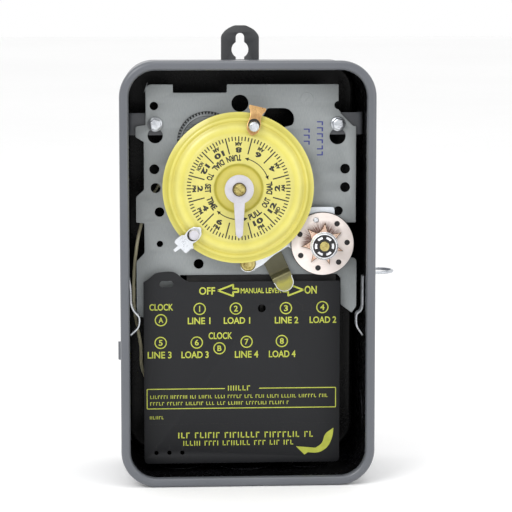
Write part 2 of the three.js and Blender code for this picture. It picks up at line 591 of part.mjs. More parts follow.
caseShell();
hangerTab();
upperBrackets();
springClips();
padlockStaple();
lidHingeLug();
mechanismPlate();
plateScrews();
motor();
reductionGear();
dialDrive();
dial();
pointer();
trippers();
manualLever();
switchCam();
contactBar();
skipBracket();
bracketStud();
skipWheel();
insulator();
terminalBlock();
terminalScrews();
motorLead();

export default part;
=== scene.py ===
"""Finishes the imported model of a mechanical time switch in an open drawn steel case.

Every section makes one piece, or one group of like pieces, in the order in which the switch is put together.
Lengths are in millimetres; piece() turns them into metres. +Z is up, and the open front faces -Y."""
import math

import bmesh
import bpy
import numpy as np
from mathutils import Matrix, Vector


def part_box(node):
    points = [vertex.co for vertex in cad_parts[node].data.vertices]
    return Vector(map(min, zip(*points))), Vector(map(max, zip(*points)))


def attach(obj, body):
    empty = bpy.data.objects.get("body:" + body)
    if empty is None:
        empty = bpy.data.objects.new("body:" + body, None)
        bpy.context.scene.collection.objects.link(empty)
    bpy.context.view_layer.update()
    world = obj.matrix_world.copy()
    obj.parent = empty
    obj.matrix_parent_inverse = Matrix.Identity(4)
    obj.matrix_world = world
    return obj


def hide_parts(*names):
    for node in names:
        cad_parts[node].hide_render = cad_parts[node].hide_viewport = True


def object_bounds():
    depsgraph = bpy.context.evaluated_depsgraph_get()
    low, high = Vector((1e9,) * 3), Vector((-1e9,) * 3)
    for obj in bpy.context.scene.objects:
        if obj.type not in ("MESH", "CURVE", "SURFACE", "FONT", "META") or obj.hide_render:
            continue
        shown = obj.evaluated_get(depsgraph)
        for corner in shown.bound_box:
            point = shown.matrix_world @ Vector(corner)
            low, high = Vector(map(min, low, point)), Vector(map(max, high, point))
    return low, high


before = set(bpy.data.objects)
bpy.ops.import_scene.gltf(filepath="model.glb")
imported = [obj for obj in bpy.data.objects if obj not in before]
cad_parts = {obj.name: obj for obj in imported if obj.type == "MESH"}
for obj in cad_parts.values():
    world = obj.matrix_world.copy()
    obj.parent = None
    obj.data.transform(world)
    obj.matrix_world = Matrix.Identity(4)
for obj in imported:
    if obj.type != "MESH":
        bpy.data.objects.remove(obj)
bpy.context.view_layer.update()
MM = 0.001


# ---- studio ----
# A pale floor under the case, a plain white surround, and three soft lamps: a large key at the upper left, a fill at
# the right and a lamp from above. The camera stands square to the front, a little to the left and a little above.
def corners(node):
    """Lowest and highest corner of a node, in millimetres."""
    return [np.array(corner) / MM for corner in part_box(node)]


def axis_of(node):
    """Where a node's middle stands in X and Z, in millimetres."""
    low, high = corners(node)
    return (low[0] + high[0]) / 2, (low[2] + high[2]) / 2


def shader(tree, kind, inputs=None, **settings):
    """A shader node with its own settings; each input, by name or number, gets a value or another node's output."""
    made = tree.nodes.new("ShaderNode" + kind)
    for key, value in settings.items():
        setattr(made, key, value)
    for key, value in (inputs or {}).items():
        if isinstance(value, bpy.types.NodeSocket):
            tree.links.new(value, made.inputs[key])
        else:
            made.inputs[key].default_value = value
    return made


def blank_material(name, **sockets):
    """A new Principled material with uniform sockets set, as (material, tree, shader, object coordinates)."""
    material = bpy.data.materials.new(name)
    material.use_nodes = True
    tree = material.node_tree
    principled = tree.nodes["Principled BSDF"]
    for key, value in sockets.items():
        principled.inputs[key.replace("_", " ")].default_value = value
    return material, tree, principled, shader(tree, "TexCoord").outputs["Object"]


def linear(red, green, blue):
    """A colour given as it looks on a screen, 0 to 255, as linear light: c / 12.92 below 0.04, and otherwise
    ((c + 0.055) / 1.055) to the power 2.4."""
    c = np.array([red, green, blue]) / 255
    return (*np.where(c <= 0.04045, c / 12.92, ((c + 0.055) / 1.055) ** 2.4), 1.0)


def finish(name, dark, light, roughness, metallic=0.0, patch=25, grain=0.6, stretch=(1, 1, 1), lift=0.01,
           fleck=None, share=0.35, **sockets):
    """A finish whose colour runs from dark to light by a slow noise of patches and a fine noise of grains, both in
    millimetres, with the grain drawn out by stretch. Roughness runs between its two values with the same grain, which
    also lifts the surface by lift. A fleck colour, if given, shows where a third noise is highest."""
    material, tree, principled, place = blank_material(name, Metallic=metallic, **sockets)
    slow = shader(tree, "TexNoise", {"Vector": place, "Scale": 1 / (patch * MM), "Detail": 3.0})
    drawn = shader(tree, "Mapping", {"Vector": place, "Scale": stretch})
    fine = shader(tree, "TexNoise", {"Vector": drawn.outputs[0], "Scale": 1 / (grain * MM), "Detail": 4.0,
                                     "Roughness": 0.65})
    both = shader(tree, "Mix", {0: share, 2: slow.outputs[0], 3: fine.outputs[0]})
    spread = shader(tree, "MapRange", {"Value": both.outputs[0], "From Min": 0.34, "From Max": 0.66})
    colour = shader(tree, "Mix", {0: spread.outputs[0], 6: dark, 7: light}, data_type="RGBA").outputs[2]
    if fleck:
        spots = shader(tree, "TexNoise", {"Vector": place, "Scale": 0.5 / (grain * MM), "Detail": 1.0})
        shown = shader(tree, "MapRange", {"Value": spots.outputs[0], "From Min": 0.62, "From Max": 0.74})
        colour = shader(tree, "Mix", {0: shown.outputs[0], 6: colour, 7: fleck}, data_type="RGBA").outputs[2]
    tree.links.new(colour, principled.inputs["Base Color"])
    rough = shader(tree, "MapRange", {"Value": both.outputs[0], "From Min": 0.3, "From Max": 0.7,
                                      "To Min": roughness[0], "To Max": roughness[1]})
    tree.links.new(rough.outputs[0], principled.inputs["Roughness"])
    bump = shader(tree, "Bump", {"Height": fine.outputs[0], "Strength": 1.0, "Distance": lift * MM})
    tree.links.new(bump.outputs[0], principled.inputs["Normal"])
    return material


case_low, case_high = corners("case_shell")
AZIMUTH, ELEVATION, DISTANCE = math.radians(-3.6), math.radians(7.0), 1150.0
AIM_RIGHT, AIM_UP = 3.7, 10.1
AIM = np.array([(case_low[0] + case_high[0]) / 2 + AIM_RIGHT, case_low[1],
                (case_low[2] + case_high[2]) / 2 + AIM_UP])
away = np.array([math.sin(AZIMUTH) * math.cos(ELEVATION), -math.cos(AZIMUTH) * math.cos(ELEVATION),
                 math.sin(ELEVATION)])
camera = bpy.data.objects.new("camera", bpy.data.cameras.new("camera"))
camera.data.lens, camera.data.sensor_width = 162.9, 36
camera.data.clip_start, camera.data.clip_end = 0.05, 20
camera.location = (AIM + away * DISTANCE) * MM


def look(thing, target):
    """Turns a lamp or the camera so that its -Z axis points at a target in metres."""
    thing.rotation_mode = "QUATERNION"
    thing.rotation_quaternion = (Vector(target) - thing.location).to_track_quat("-Z", "Y")
    bpy.context.scene.collection.objects.link(thing)


look(camera, AIM * MM)
bpy.context.scene.camera = camera

for name, place, size, power in [("key_lamp", (-0.75, -1.15, 0.95), 0.7, 9), ("fill_lamp", (1.1, -1.0, 0.25), 0.9, 2.5),
                                 ("top_lamp", (0.15, -0.35, 1.5), 0.8, 4)]:
    lamp = bpy.data.objects.new(name, bpy.data.lights.new(name, "AREA"))
    lamp.data.shape, lamp.data.size, lamp.data.energy = "DISK", size, power
    lamp.location = place
    look(lamp, (0, -0.04, 0.01))

world = bpy.data.worlds.new("white_surround")
world.use_nodes = True
world.node_tree.nodes["Background"].inputs["Color"].default_value = (1, 1, 1, 1)
world.node_tree.nodes["Background"].inputs["Strength"].default_value = 1.0
bpy.context.scene.world = world
bpy.context.scene.view_settings.view_transform = "Standard"

floor_mesh = bpy.data.meshes.new("floor")
REACH = 8.0
floor_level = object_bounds()[0].z
floor_mesh.from_pydata([(-REACH, -REACH, floor_level), (REACH, -REACH, floor_level), (REACH, REACH, floor_level),
                        (-REACH, REACH, floor_level)], [], [(0, 1, 2, 3)])
floor_mesh.materials.append(finish("pale_floor", linear(250, 250, 250), linear(253, 253, 253), (0.7, 0.8), patch=900,
                                   grain=60, lift=0))
floor = bpy.data.objects.new("floor", floor_mesh)
bpy.context.scene.collection.objects.link(floor)


# ---- drawn case ----
# One deep-drawn steel pan: round corners, a rounded edge at the back and a full rolled lip at the open front. It is
# enamelled grey outside and over the lip; from just past the lip inwards it is near black and glossy, over faintly
# uneven metal.
def softened(points, reach, steps=5, closed=True):
    """Each corner p of a chain becomes a parabola from a to b, the points that lie reach before and after it:
    (1-t)^2 a + 2t(1-t) p + t^2 b. The ends of an open chain stay."""
    p = np.asarray(points, float)

    def towards(side):
        """p + reach along the side's own direction, but never past 0.48 of the side."""
        far = np.linalg.norm(side, axis=1, keepdims=True)
        return p + side * np.minimum(np.broadcast_to(reach, len(p))[:, None], 0.48 * far) / np.maximum(far, 1e-9)

    a, b = (towards(np.roll(p, shift, 0) - p) for shift in (1, -1))
    t = np.linspace(0, 1, steps)[None, :, None]
    chain = ((1 - t) ** 2 * a[:, None] + 2 * t * (1 - t) * p[:, None] + t**2 * b[:, None]).reshape(-1, p.shape[1])
    return chain if closed else np.vstack([p[:1], chain[steps:-steps], p[-1:]])


def grid_faces(rows, columns, wrap_rows=False, wrap_columns=True):
    """Four-sided faces between neighbouring points of a grid, numbered row by row."""
    r = np.arange(rows if wrap_rows else rows - 1)[:, None]
    c = np.arange(columns if wrap_columns else columns - 1)[None, :]
    r1, c1 = (r + 1) % rows, (c + 1) % columns
    return np.stack([r * columns + c, r * columns + c1, r1 * columns + c1, r1 * columns + c], -1).reshape(-1, 4)


def piece(name, parts, finishes, body, stands_for=(), sharp=38, bands=None):
    """A shown piece from a list of (vertices, faces) in millimetres: points that meet are merged, faces turned
    outwards, and edges over sharp degrees kept crisp. bands numbers each face's finish."""
    vertices, faces, start = [], [], 0
    for points, sides in parts:
        vertices.append(points)
        faces += [[start + i for i in side] for side in np.asarray(sides, dtype=object).tolist()] \
            if isinstance(sides, list) else (np.asarray(sides) + start).tolist()
        start += len(points)
    mesh = bpy.data.meshes.new(name)
    mesh.from_pydata((np.vstack(vertices) * MM).tolist(), [], faces)
    for material in finishes:
        mesh.materials.append(material)
    if bands is not None:
        mesh.polygons.foreach_set("material_index", np.asarray(bands, np.int32))
    work = bmesh.new()
    work.from_mesh(mesh)
    bmesh.ops.remove_doubles(work, verts=work.verts, dist=1e-6)
    bmesh.ops.dissolve_degenerate(work, edges=work.edges, dist=1e-7)
    bmesh.ops.recalc_face_normals(work, faces=work.faces)
    work.to_mesh(mesh)
    work.free()
    mesh.polygons.foreach_set("use_smooth", np.ones(len(mesh.polygons), bool))
    mesh.set_sharp_from_angle(angle=math.radians(sharp))
    made = bpy.data.objects.new(name, mesh)
    bpy.context.scene.collection.objects.link(made)
    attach(made, body)
    if stands_for:
        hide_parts(*stands_for)
    return made


def round_box(half_width, half_height, corner, along=10, turn=18):
    """A box outline with round corners: in each quarter the centre of the corner plus corner x (cos a, sin a), then
    equal steps along the straight side to the next quarter."""
    a = np.linspace(0, np.pi / 2, turn)
    outline = []
    for quarter in range(4):
        sx, sz = [(1, 1), (-1, 1), (-1, -1), (1, -1)][quarter]
        b = a + quarter * np.pi / 2
        outline.append(np.column_stack([sx * (half_width - corner) + corner * np.cos(b),
                                        sz * (half_height - corner) + corner * np.sin(b)]))
    straight = np.linspace(0, 1, along + 2)[1:-1, None]
    return np.vstack([np.vstack([now, now[-1] + (after[0] - now[-1]) * straight])
                      for now, after in zip(outline, outline[1:] + outline[:1])])


grey_enamel = finish("grey_enamel", linear(84, 87, 93), linear(93, 96, 102), (0.3, 0.42), patch=60, grain=1.1,
                     lift=0.012, share=0.2, Coat_Weight=0.25, Coat_Roughness=0.25)
# Near black and glossy: the inside of the case from just past the lip, and the inner faces of the knockouts.
near_black_inside = finish("near_black_inside", linear(9, 9, 10), linear(15, 15, 17), (0.2, 0.34), patch=40, grain=2.2,
                      lift=0.02, Specular_IOR_Level=0.16, Coat_Weight=0.04, Coat_Roughness=0.1)
HALF_W, HALF_H = (case_high[0] - case_low[0]) / 2, (case_high[2] - case_low[2]) / 2
CORNER, WALL_IN, WALL_THICK, LIP, LIP_DEPTH = 18.0, 2.0, 1.5, 4.7, 5.5
BACK_PLANE = case_high[1] - 0.3
front = case_low[1]
inner = WALL_IN + WALL_THICK
CASE_PROFILE = [(9, BACK_PLANE, 0), (WALL_IN, BACK_PLANE, 5), (WALL_IN, front + LIP_DEPTH, 0.7),
                (0, front + LIP_DEPTH, 2), (0, front, 2.7), (LIP, front, 2.3), (LIP, front + LIP_DEPTH, 1.8),
                (inner, front + LIP_DEPTH + 0.3, 0.5), (inner, BACK_PLANE - WALL_THICK, 3.5),
                (9, BACK_PLANE - WALL_THICK, 0)]
profile = softened([row[:2] for row in CASE_PROFILE], [row[2] for row in CASE_PROFILE], steps=7, closed=False)
rings = [np.insert(round_box(HALF_W - inset, HALF_H - inset, max(CORNER - inset, 1.0)), 1, y, axis=1)
         for inset, y in profile]
around = len(rings[0])
case_faces = grid_faces(len(rings), around).tolist()
case_faces += [list(range(around)), list(range((len(rings) - 1) * around, len(rings) * around))]
crest = int(np.argmin(profile[:, 1]))
black_from = crest + int(np.argmax(profile[crest:, 1] > front + 3.2))
inside = np.append(np.repeat(np.arange(len(rings) - 1) >= black_from, around), [False, True])
piece("drawn_case", [(np.vstack(rings), case_faces)], [grey_enamel, near_black_inside], "case",
      ["case_shell"], bands=inside)


def turned(profile, centre, sides=72):
    """A profile of [radius, y] rows turned about the line along Y through centre (x, z): x + r cos a, z + r sin a.
    It ends on the axis at both ends, or closes on itself."""
    rows = np.asarray(profile, float)
    a = np.arange(sides) * 2 * np.pi / sides
    r, y = rows[:, :1], rows[:, 1:]
    points = np.stack([centre[0] + r * np.cos(a), y + 0 * a, centre[1] + r * np.sin(a)], -1)
    return points.reshape(-1, 3), grid_faces(len(rows), sides, wrap_rows=rows[0, 0] > 0)


# ---- knockouts ----
# Round blanks left by the punch in the bottom, side and back walls, each held by two nicks, with a second ring cut
# inside the larger ones. They stand a hair proud of the wall, grey outside and near black inside like the case.
def knockout(name, at, axis, radius, ring):
    """A stepped disc through the wall: turned about Y and then laid along the given axis."""
    half = WALL_THICK / 2
    chain = [(0, 0.2), (ring - 0.5, 0.2), (ring, -0.1), (ring + 0.5, 0.25), (radius - 0.4, 0.25), (radius, 0.05)]
    outer = softened([(r, half + h) for r, h in chain], 0.2, 3, closed=False)
    rows = np.vstack([outer, outer[::-1] * [1, -1]])
    points, faces = turned(rows, (0, 0), 64)
    order = {"x": [1, 0, 2], "y": [0, 1, 2], "z": [0, 2, 1]}[axis]
    points = points[:, order] + at
    line = "xyz".index(axis)
    depth = points[faces].mean(1)[:, line]
    hidden = depth > at[line] if at[line] < -1 and axis != "y" else depth < at[line]
    return piece(name, [(points, faces)], [grey_enamel, near_black_inside], "case", bands=hidden)


wall_mid_x, wall_mid_z = HALF_W - WALL_IN - WALL_THICK / 2, HALF_H - WALL_IN - WALL_THICK / 2
back_mid = BACK_PLANE - WALL_THICK / 2
for name, at, axis, radius, ring in [
        ("bottom_knockout_centre", (0, -36, -wall_mid_z), "z", 14.2, 11.1),
        ("bottom_knockout_left", (-33, -36, -wall_mid_z), "z", 11.1, 8.4),
        ("bottom_knockout_right", (33, -36, -wall_mid_z), "z", 11.1, 8.4),
        ("left_knockout", (-wall_mid_x, -36, -76), "x", 11.1, 8.4),
        ("right_knockout", (wall_mid_x, -36, -76), "x", 11.1, 8.4),
        ("back_knockout_left", (-26, back_mid, -72), "y", 11.1, 8.4),
        ("back_knockout_right", (26, back_mid, -72), "y", 11.1, 8.4)]:
    knockout(name, np.array(at), axis, radius, ring)


# ---- keyhole hanger ----
# A blanked steel strap with a keyhole, welded flat on the back of the case so that it stands above the top edge.
# It is enamelled a darker grey, with the rolled burr of the blanking die on its edge.
def circle(x, z, r, steps=44, start=0.0, end=360.0):
    """Points at (x + r cos a, z + r sin a), a in equal steps between two angles in degrees."""
    whole = abs(end - start) >= 360
    a = np.radians(np.linspace(start, end, steps, endpoint=not whole))
    return np.column_stack([x + r * np.cos(a), z + r * np.sin(a)])


def cut(outlines, back, thick, edge=0.12):
    """A flat blank with holes, its outlines given in X and Z, from y = back towards the front, with every edge eased.
    The first outline runs anticlockwise and its holes clockwise."""
    curve = bpy.data.curves.new("blank", "CURVE")
    curve.dimensions, curve.fill_mode = "2D", "BOTH"
    curve.extrude, curve.bevel_depth, curve.bevel_resolution, curve.offset = thick / 2 - edge, edge, 1, -edge
    for number, outline in enumerate(outlines):
        points = np.asarray(outline, float)
        x, z = points.T
        area = np.sum(x * np.roll(z, -1) - z * np.roll(x, -1))
        if (area > 0) != (number == 0):
            points = points[::-1]
        spline = curve.splines.new("POLY")
        spline.points.add(len(points) - 1)
        spline.points.foreach_set("co", np.column_stack([points, 0 * points[:, 0], 0 * points[:, 0] + 1]).ravel())
        spline.use_cyclic_u = True
    points, faces = as_arrays(curve)
    return np.column_stack([points[:, 0], back - thick / 2 - points[:, 2], points[:, 1]]), faces


def as_arrays(curve):
    """The vertices and faces that a flat curve or a line of text makes."""
    holder = bpy.data.objects.new("blank", curve)
    bpy.context.scene.collection.objects.link(holder)
    bpy.context.view_layer.update()
    mesh = bpy.data.meshes.new_from_object(holder.evaluated_get(bpy.context.evaluated_depsgraph_get()))
    points = np.zeros(len(mesh.vertices) * 3)
    mesh.vertices.foreach_get("co", points)
    faces = [list(polygon.vertices) for polygon in mesh.polygons]
    bpy.data.objects.remove(holder)
    bpy.data.meshes.remove(mesh)
    return points.reshape(-1, 3), faces


hanger_low, hanger_high = corners("hanger_tab")
half = (hanger_high[0] - hanger_low[0]) / 2
KEY_Z, KEY_R, SLOT_HALF, SLOT_TOP = 109.8, 4.4, 2.2, 118.4
strap = softened([(-half, hanger_low[2]), (half, hanger_low[2]), (half, 117), (7.2, 120.6), (0, 123.6), (-7.2, 120.6),
                  (-half, 117)], [1, 1, 1.2, 4, 8, 4, 1.2], 8)
strap[:, 1] = np.minimum(strap[:, 1], hanger_high[2])
flank = math.degrees(math.acos(SLOT_HALF / KEY_R))
keyhole = np.vstack([circle(0, SLOT_TOP - SLOT_HALF, SLOT_HALF, 14, 0, 180),
                     circle(0, KEY_Z, KEY_R, 22, 180 - flank, 180 + flank), [(-SLOT_HALF, 104.7), (SLOT_HALF, 104.7)],
                     circle(0, KEY_Z, KEY_R, 22, -flank, flank)])
hanger_enamel = finish("hanger_enamel", linear(50, 51, 53), linear(60, 61, 63), (0.34, 0.5), patch=18, grain=0.7,
                       lift=0.012, Coat_Weight=0.15, Coat_Roughness=0.3)
piece("keyhole_hanger", [cut([strap, keyhole], hanger_high[1], 1.6, 0.3)], [hanger_enamel], "case",
      ["hanger_tab"])


# ---- plate brackets ----
# Two strips of steel folded to an angle and welded inside the upper side walls. The mechanism plate is screwed to
# their front faces. They are dipped in the same grey as the case.
SQUARE = softened([(-1, -1), (1, -1), (1, 1), (-1, 1)], 0.35, 4)
ROUND = circle(0, 0, 1, 20)


def swept(path, across, half_width, half_thick, section=SQUARE, closed=False):
    """A closed section carried along a path: path + across x w x half_width + normal x t x half_thick, where across
    is made square to the path and the normal to both. An open path is closed at both ends on its end points."""
    path = np.asarray(path, float)
    ahead = (np.roll(path, -1, 0) - np.roll(path, 1, 0)) if closed else np.gradient(path, axis=0)
    ahead /= np.linalg.norm(ahead, axis=1, keepdims=True)
    side = np.broadcast_to(np.asarray(across, float), path.shape)
    side = side - ahead * np.sum(side * ahead, 1, keepdims=True)
    side /= np.linalg.norm(side, axis=1, keepdims=True)
    normal = np.cross(ahead, side)
    w = np.broadcast_to(half_width, len(path))[:, None, None] * section[None, :, :1]
    t = np.broadcast_to(half_thick, len(path))[:, None, None] * section[None, :, 1:]
    grid = path[:, None] + side[:, None] * w + normal[:, None] * t
    if not closed:
        ends = [np.repeat(path[i][None, None], len(section), 1) for i in (0, -1)]
        grid = np.concatenate([ends[0], grid, ends[1]])
    return grid.reshape(-1, 3), grid_faces(len(grid), len(section), wrap_rows=closed)


bracket_enamel = finish("bracket_enamel", linear(72, 74, 78), linear(86, 88, 92), (0.34, 0.48), patch=14, grain=0.8,
                        lift=0.01)
for side in ("left", "right"):
    low, high = corners(f"{side}_plate_bracket")
    wall_x, inner_x = (low[0] + 0.6, high[0]) if side == "left" else (high[0] - 0.6, low[0])
    middle = (low[2] + high[2]) / 2
    fold = softened([(wall_x, high[1], middle), (wall_x, low[1] + 0.6, middle), (inner_x, low[1] + 0.6, middle)],
                    [0, 2.2, 0], 9, closed=False)
    piece(f"{side}_angle_bracket", [swept(fold, (0, 0, 1), (high[2] - low[2]) / 2, 0.6)], [bracket_enamel], "case",
          [f"{side}_plate_bracket"])


# ---- spring clips ----
# Two bent leaves of bright zinc-plated spring steel at the sides of the wiring space. Their noses press on the edges
# of the insulator and hold it in.
# Bright zinc; also used for the painted highlight round the lever pad's rounded end.
bright_zinc = finish("bright_zinc", linear(178, 182, 188), linear(226, 229, 233), (0.22, 0.4), 0.85, patch=6,
                     grain=0.35, lift=0.006, fleck=linear(140, 142, 146))
CLIP_PATHS = {"left": [(-59.3, -3), (-58.4, -8), (-58.2, -17), (-56.6, -20.5), (-54.2, -22.6), (-53.9, -25.4),
                       (-54.6, -28.6), (-58.6, -32.2)],
              "right": [(59.3, -3), (59.2, -8), (59.2, -18.4), (58.4, -21), (56.4, -22), (55.9, -24), (56.2, -28.8),
                        (59.2, -33.2)]}
for side, path in CLIP_PATHS.items():
    low, high = corners(f"{side}_spring_clip")
    middle = (low[1] + high[1]) / 2
    bend = softened([(x, middle, z) for x, z in path], 1.6, 6, closed=False)
    piece(f"{side}_insulator_spring", [swept(bend, (0, 1, 0), (high[1] - low[1]) / 2, 0.5)], [bright_zinc], "case",
          [f"{side}_spring_clip"])


# ---- padlock staple and lid hinge ----
# A loop of zinc-plated wire through the right wall takes the lid's hasp and a padlock. On the left wall, a short
# drilled barrel is all that shows of the lid's hinge.
low, high = corners("padlock_staple")
RADIUS = 0.8
a = np.linspace(0, np.pi, 25)
reach_x, half_span = high[0] - RADIUS, (high[1] - low[1]) / 2 - RADIUS
bow_x = reach_x - half_span
middle_y, level = (low[1] + high[1]) / 2, (low[2] + high[2]) / 2
bow = np.column_stack([bow_x + half_span * np.sin(a), middle_y - half_span * np.cos(a), 0 * a + level])
wire = np.vstack([[(low[0] - 1.5, bow[0, 1], level), (low[0], bow[0, 1], level)], bow,
                  [(low[0], bow[-1, 1], level), (low[0] - 1.5, bow[-1, 1], level)]])
piece("staple_loop", [swept(wire, (0, 0, 1), RADIUS, RADIUS, ROUND)], [bright_zinc], "case",
      ["padlock_staple"])


def repaint(finish_of, *nodes):
    """Gives carried-over nodes a finish."""
    for node in nodes:
        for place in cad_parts[node].material_slots:
            place.material = finish_of


repaint(grey_enamel, "lid_hinge_pin")


# ---- mechanism plate ----
# The blanked steel plate that carries the whole movement. It is dull zinc-plated, pierced for other models' fittings,
# with a stamped ring near the top and rows of blue inspection dabs at the right.
low, high = corners("mechanism_plate")
PLATE_FRONT, PLATE_THICK = low[1], high[1] - low[1]
plate_outline = np.vstack([
    softened([(-47.3, 94), (-36.5, 94), (-36.5, 89.8), (-9.35, 89.8), (-9.35, 94), (47.1, 93.9), (47.1, 85.4)], 0.5, 3,
             closed=False),
    circle(47.1, 83.3, 2.1, 14, 90, 270)[1:],
    softened([(48.1, 81.2), (48.1, 79.3), (54.7, 72.7), (56.1, 72.7), (56.1, 23.7), (49.5, 23.7), (49.5, 5.7),
              (52.2, 5.7)], 0.5, 3, closed=False)[1:],
    circle(54.4, 3.5, 2.2, 8, 90, 0),
    softened([(56.6, 3.4), (56.6, -19.2), (54.3, -22.6), (48.5, -18.3), (48.5, -4.8), (46.6, -2.6), (-33.3, -2.6),
              (-33.3, -13.6), (-50.5, -13.6), (-50.5, -24), (-55.3, -24), (-55.3, 4.4), (-51.2, 8.8), (-51.2, 23.9),
              (-55.3, 24.4), (-55.3, 37.3), (-51.3, 40.9), (-51.3, 65.1), (-55.4, 67.6), (-55.4, 72.9),
              (-50.3, 73.6), (-50.3, 91), (-50, 92.4)], 0.5, 3, closed=False)[1:],
    circle(-47.3, 91, 3, 8, 160, 92)])[::-1]
ROUND_HOLES = [(-46.1, 83.2, 2.1), (-45.5, 74, 1.7), (-45.5, 68.2, 3.8), (-46, 51.3, 2.5), (-45.4, 41.8, 2.5),
               (-43.5, 29.6, 2.4), (-43.4, 13.4, 1.6), (-23.8, 3.1, 2.5), (-2.75, 84.4, 4.3), (50.6, 51.1, 2.5),
               (50.6, 41.7, 2.5), (47.2, 29.7, 2.3), (46.8, 73.9, 1.9), (46.7, 67.6, 4.1), (-8.6, 51.6, 4.2),
               (8, 18.4, 3.2)]
pear = softened(np.vstack([circle(19.1, 76.4, 5.5, 20, -34, 90), [(11, 81.9), (8, 76), (16, 71.4)]]), 1.2, 3)
plate_zinc = finish("plate_zinc", linear(146, 151, 152), linear(166, 170, 171), (0.46, 0.6), 0.2, patch=34,
                    grain=0.4, stretch=(1, 1, 0.16), lift=0.006, share=0.5, Specular_IOR_Level=0.3)
piece("pierced_plate", [cut([plate_outline, pear] + [circle(*spot) for spot in ROUND_HOLES], high[1], PLATE_THICK,
                            0.15)], [plate_zinc], "case", ["mechanism_plate"])

STAMP_X, STAMP_Z = 31.0, 86.3
ring = circle(STAMP_X, STAMP_Z, 3.3, 48)
ring = np.column_stack([ring[:, 0], 0 * ring[:, 0] + PLATE_FRONT, ring[:, 1]])
slash = np.linspace((STAMP_X - 1.2, PLATE_FRONT, STAMP_Z - 1.4), (STAMP_X + 1.2, PLATE_FRONT, STAMP_Z + 1.4), 8)
piece("stamped_ring", [swept(ring, (0, 1, 0), 0.09, 0.22, ROUND, closed=True),
                       swept(slash, (0, 1, 0), 0.09, 0.2, ROUND)], [plate_zinc], "case")


def bar(x, z, width, height, back, rise, turn=0.0):
    """A thin printed bar: a box centred at (x, z), turned clockwise, from y = back forward by rise."""
    w, h = np.array([-1, 1, 1, -1]) * width / 2, np.array([-1, -1, 1, 1]) * height / 2
    c, s = math.cos(turn), math.sin(turn)
    flat = np.column_stack([x + w * c + h * s, z - w * s + h * c])
    return prism(flat, back, rise)


def prism(flat, back, rise):
    """A flat outline in X and Z from y = back forward by rise."""
    flat = np.asarray(flat, float)
    n = len(flat)
    points = np.vstack([np.insert(flat, 1, back - rise, axis=1), np.insert(flat, 1, back, axis=1)])
    i = np.arange(n)
    sides = np.column_stack([i, (i + 1) % n, (i + 1) % n + n, i + n]).tolist()
    return points, [list(range(n)), list(range(2 * n - 1, n - 1, -1))] + sides


INK = 0.05
blue_ink = finish("blue_ink", linear(44, 50, 128), linear(60, 66, 146), (0.5, 0.6), patch=3, grain=0.3, lift=0.002)
dabs = []
chance = np.random.default_rng(7)
for column_x, column_top, count in [(31, 70.5, 3), (37.7, 74.2, 6)]:
    for number in range(count):
        z = column_top - number * 3.05
        dabs.append(bar(column_x + 1.2, z, 0.7, 2.0, PLATE_FRONT + 0.02, INK))
        dabs.append(bar(column_x - 0.3, z + 0.75 * chance.choice([-1, 1]), 2.4, 0.6, PLATE_FRONT + 0.02, INK))
piece("inspection_dabs", dabs, [blue_ink], "case")


# ---- plate screws ----
# Slotted hex washer-head screws, bright zinc-plated, that hold the plate to its two angle brackets. The heads are
# cold-formed: a round washer, six flats and a shallow crown.
def relief(centre, front, back, height, reach, rows=40, sides=120):
    """A boss on a polar grid: point = centre + s x reach(a) x (cos a, sin a) with y = front - height(x, z, s), for s
    from 0 to 1, then straight back to a flat foot. x and z are measured from the centre."""
    a = np.arange(sides) * 2 * np.pi / sides
    s = np.linspace(0, 1, rows)[:, None]
    x, z = s * reach(a) * np.cos(a), s * reach(a) * np.sin(a)
    y = front - height(x, z, s)
    rim = np.full((1, sides), float(back))
    x, z = (np.vstack([grid, grid[-1:], 0 * grid[:1]]) for grid in (x, z))
    y = np.vstack([y + 0 * x[:rows], rim, rim])
    return np.stack([x + centre[0], y, z + centre[1]], -1).reshape(-1, 3), grid_faces(rows + 2, sides)


def step_up(value, low_end, high_end):
    """0 below low_end, 1 above high_end, and 3t^2 - 2t^3 between."""
    t = np.clip((value - low_end) / (high_end - low_end), 0, 1)
    return t * t * (3 - 2 * t)


def slot_cut(x, z, width, depth, turn, length=99):
    """The depth of a screwdriver slot: full within half its width of a line turned clockwise from level, and within
    half its length of the middle. The usual length runs right across any head."""
    c, s = math.cos(math.radians(turn)), math.sin(math.radians(turn))
    return depth * (1 - step_up(np.abs(x * s + z * c), width / 2 - 0.05, width / 2 + 0.05)) \
        * (1 - step_up(np.abs(x * c - z * s), length / 2 - 0.05, length / 2 + 0.05))


def six_sided(flat):
    """The radius of a hexagon with softened corners, flat / 2 over cos of the angle from the nearest flat."""
    return lambda a: np.minimum(flat / 2 / np.cos((a + 0.3) % (np.pi / 3) - np.pi / 6), flat / 2 * 1.11)


for name, turn in [("left", 58), ("right", 12)]:
    low, high = corners(f"{name}_plate_screw")
    centre = axis_of(f"{name}_plate_screw")
    washer_r = (high[0] - low[0]) / 2
    washer = turned(softened([(0, -50.3), (washer_r, -50.3), (washer_r, -51.1), (2.6, -51.5), (0, -51.5)],
                             [0, .2, .3, .2, 0], 4, closed=False), centre)
    head = relief(centre, low[1] + 0.45, -51.2, lambda x, z, s: 0.45 * (1 - s**6) + 0.12 * (1 - s**2)
                  - slot_cut(x, z, 0.95, 1.0, turn) - 0.35 * step_up(s, 0.9, 1.0), six_sided(5.6), 60, 180)
    piece(f"{name}_hex_screw", [washer, head], [bright_zinc], "case", [f"{name}_plate_screw"], 50)
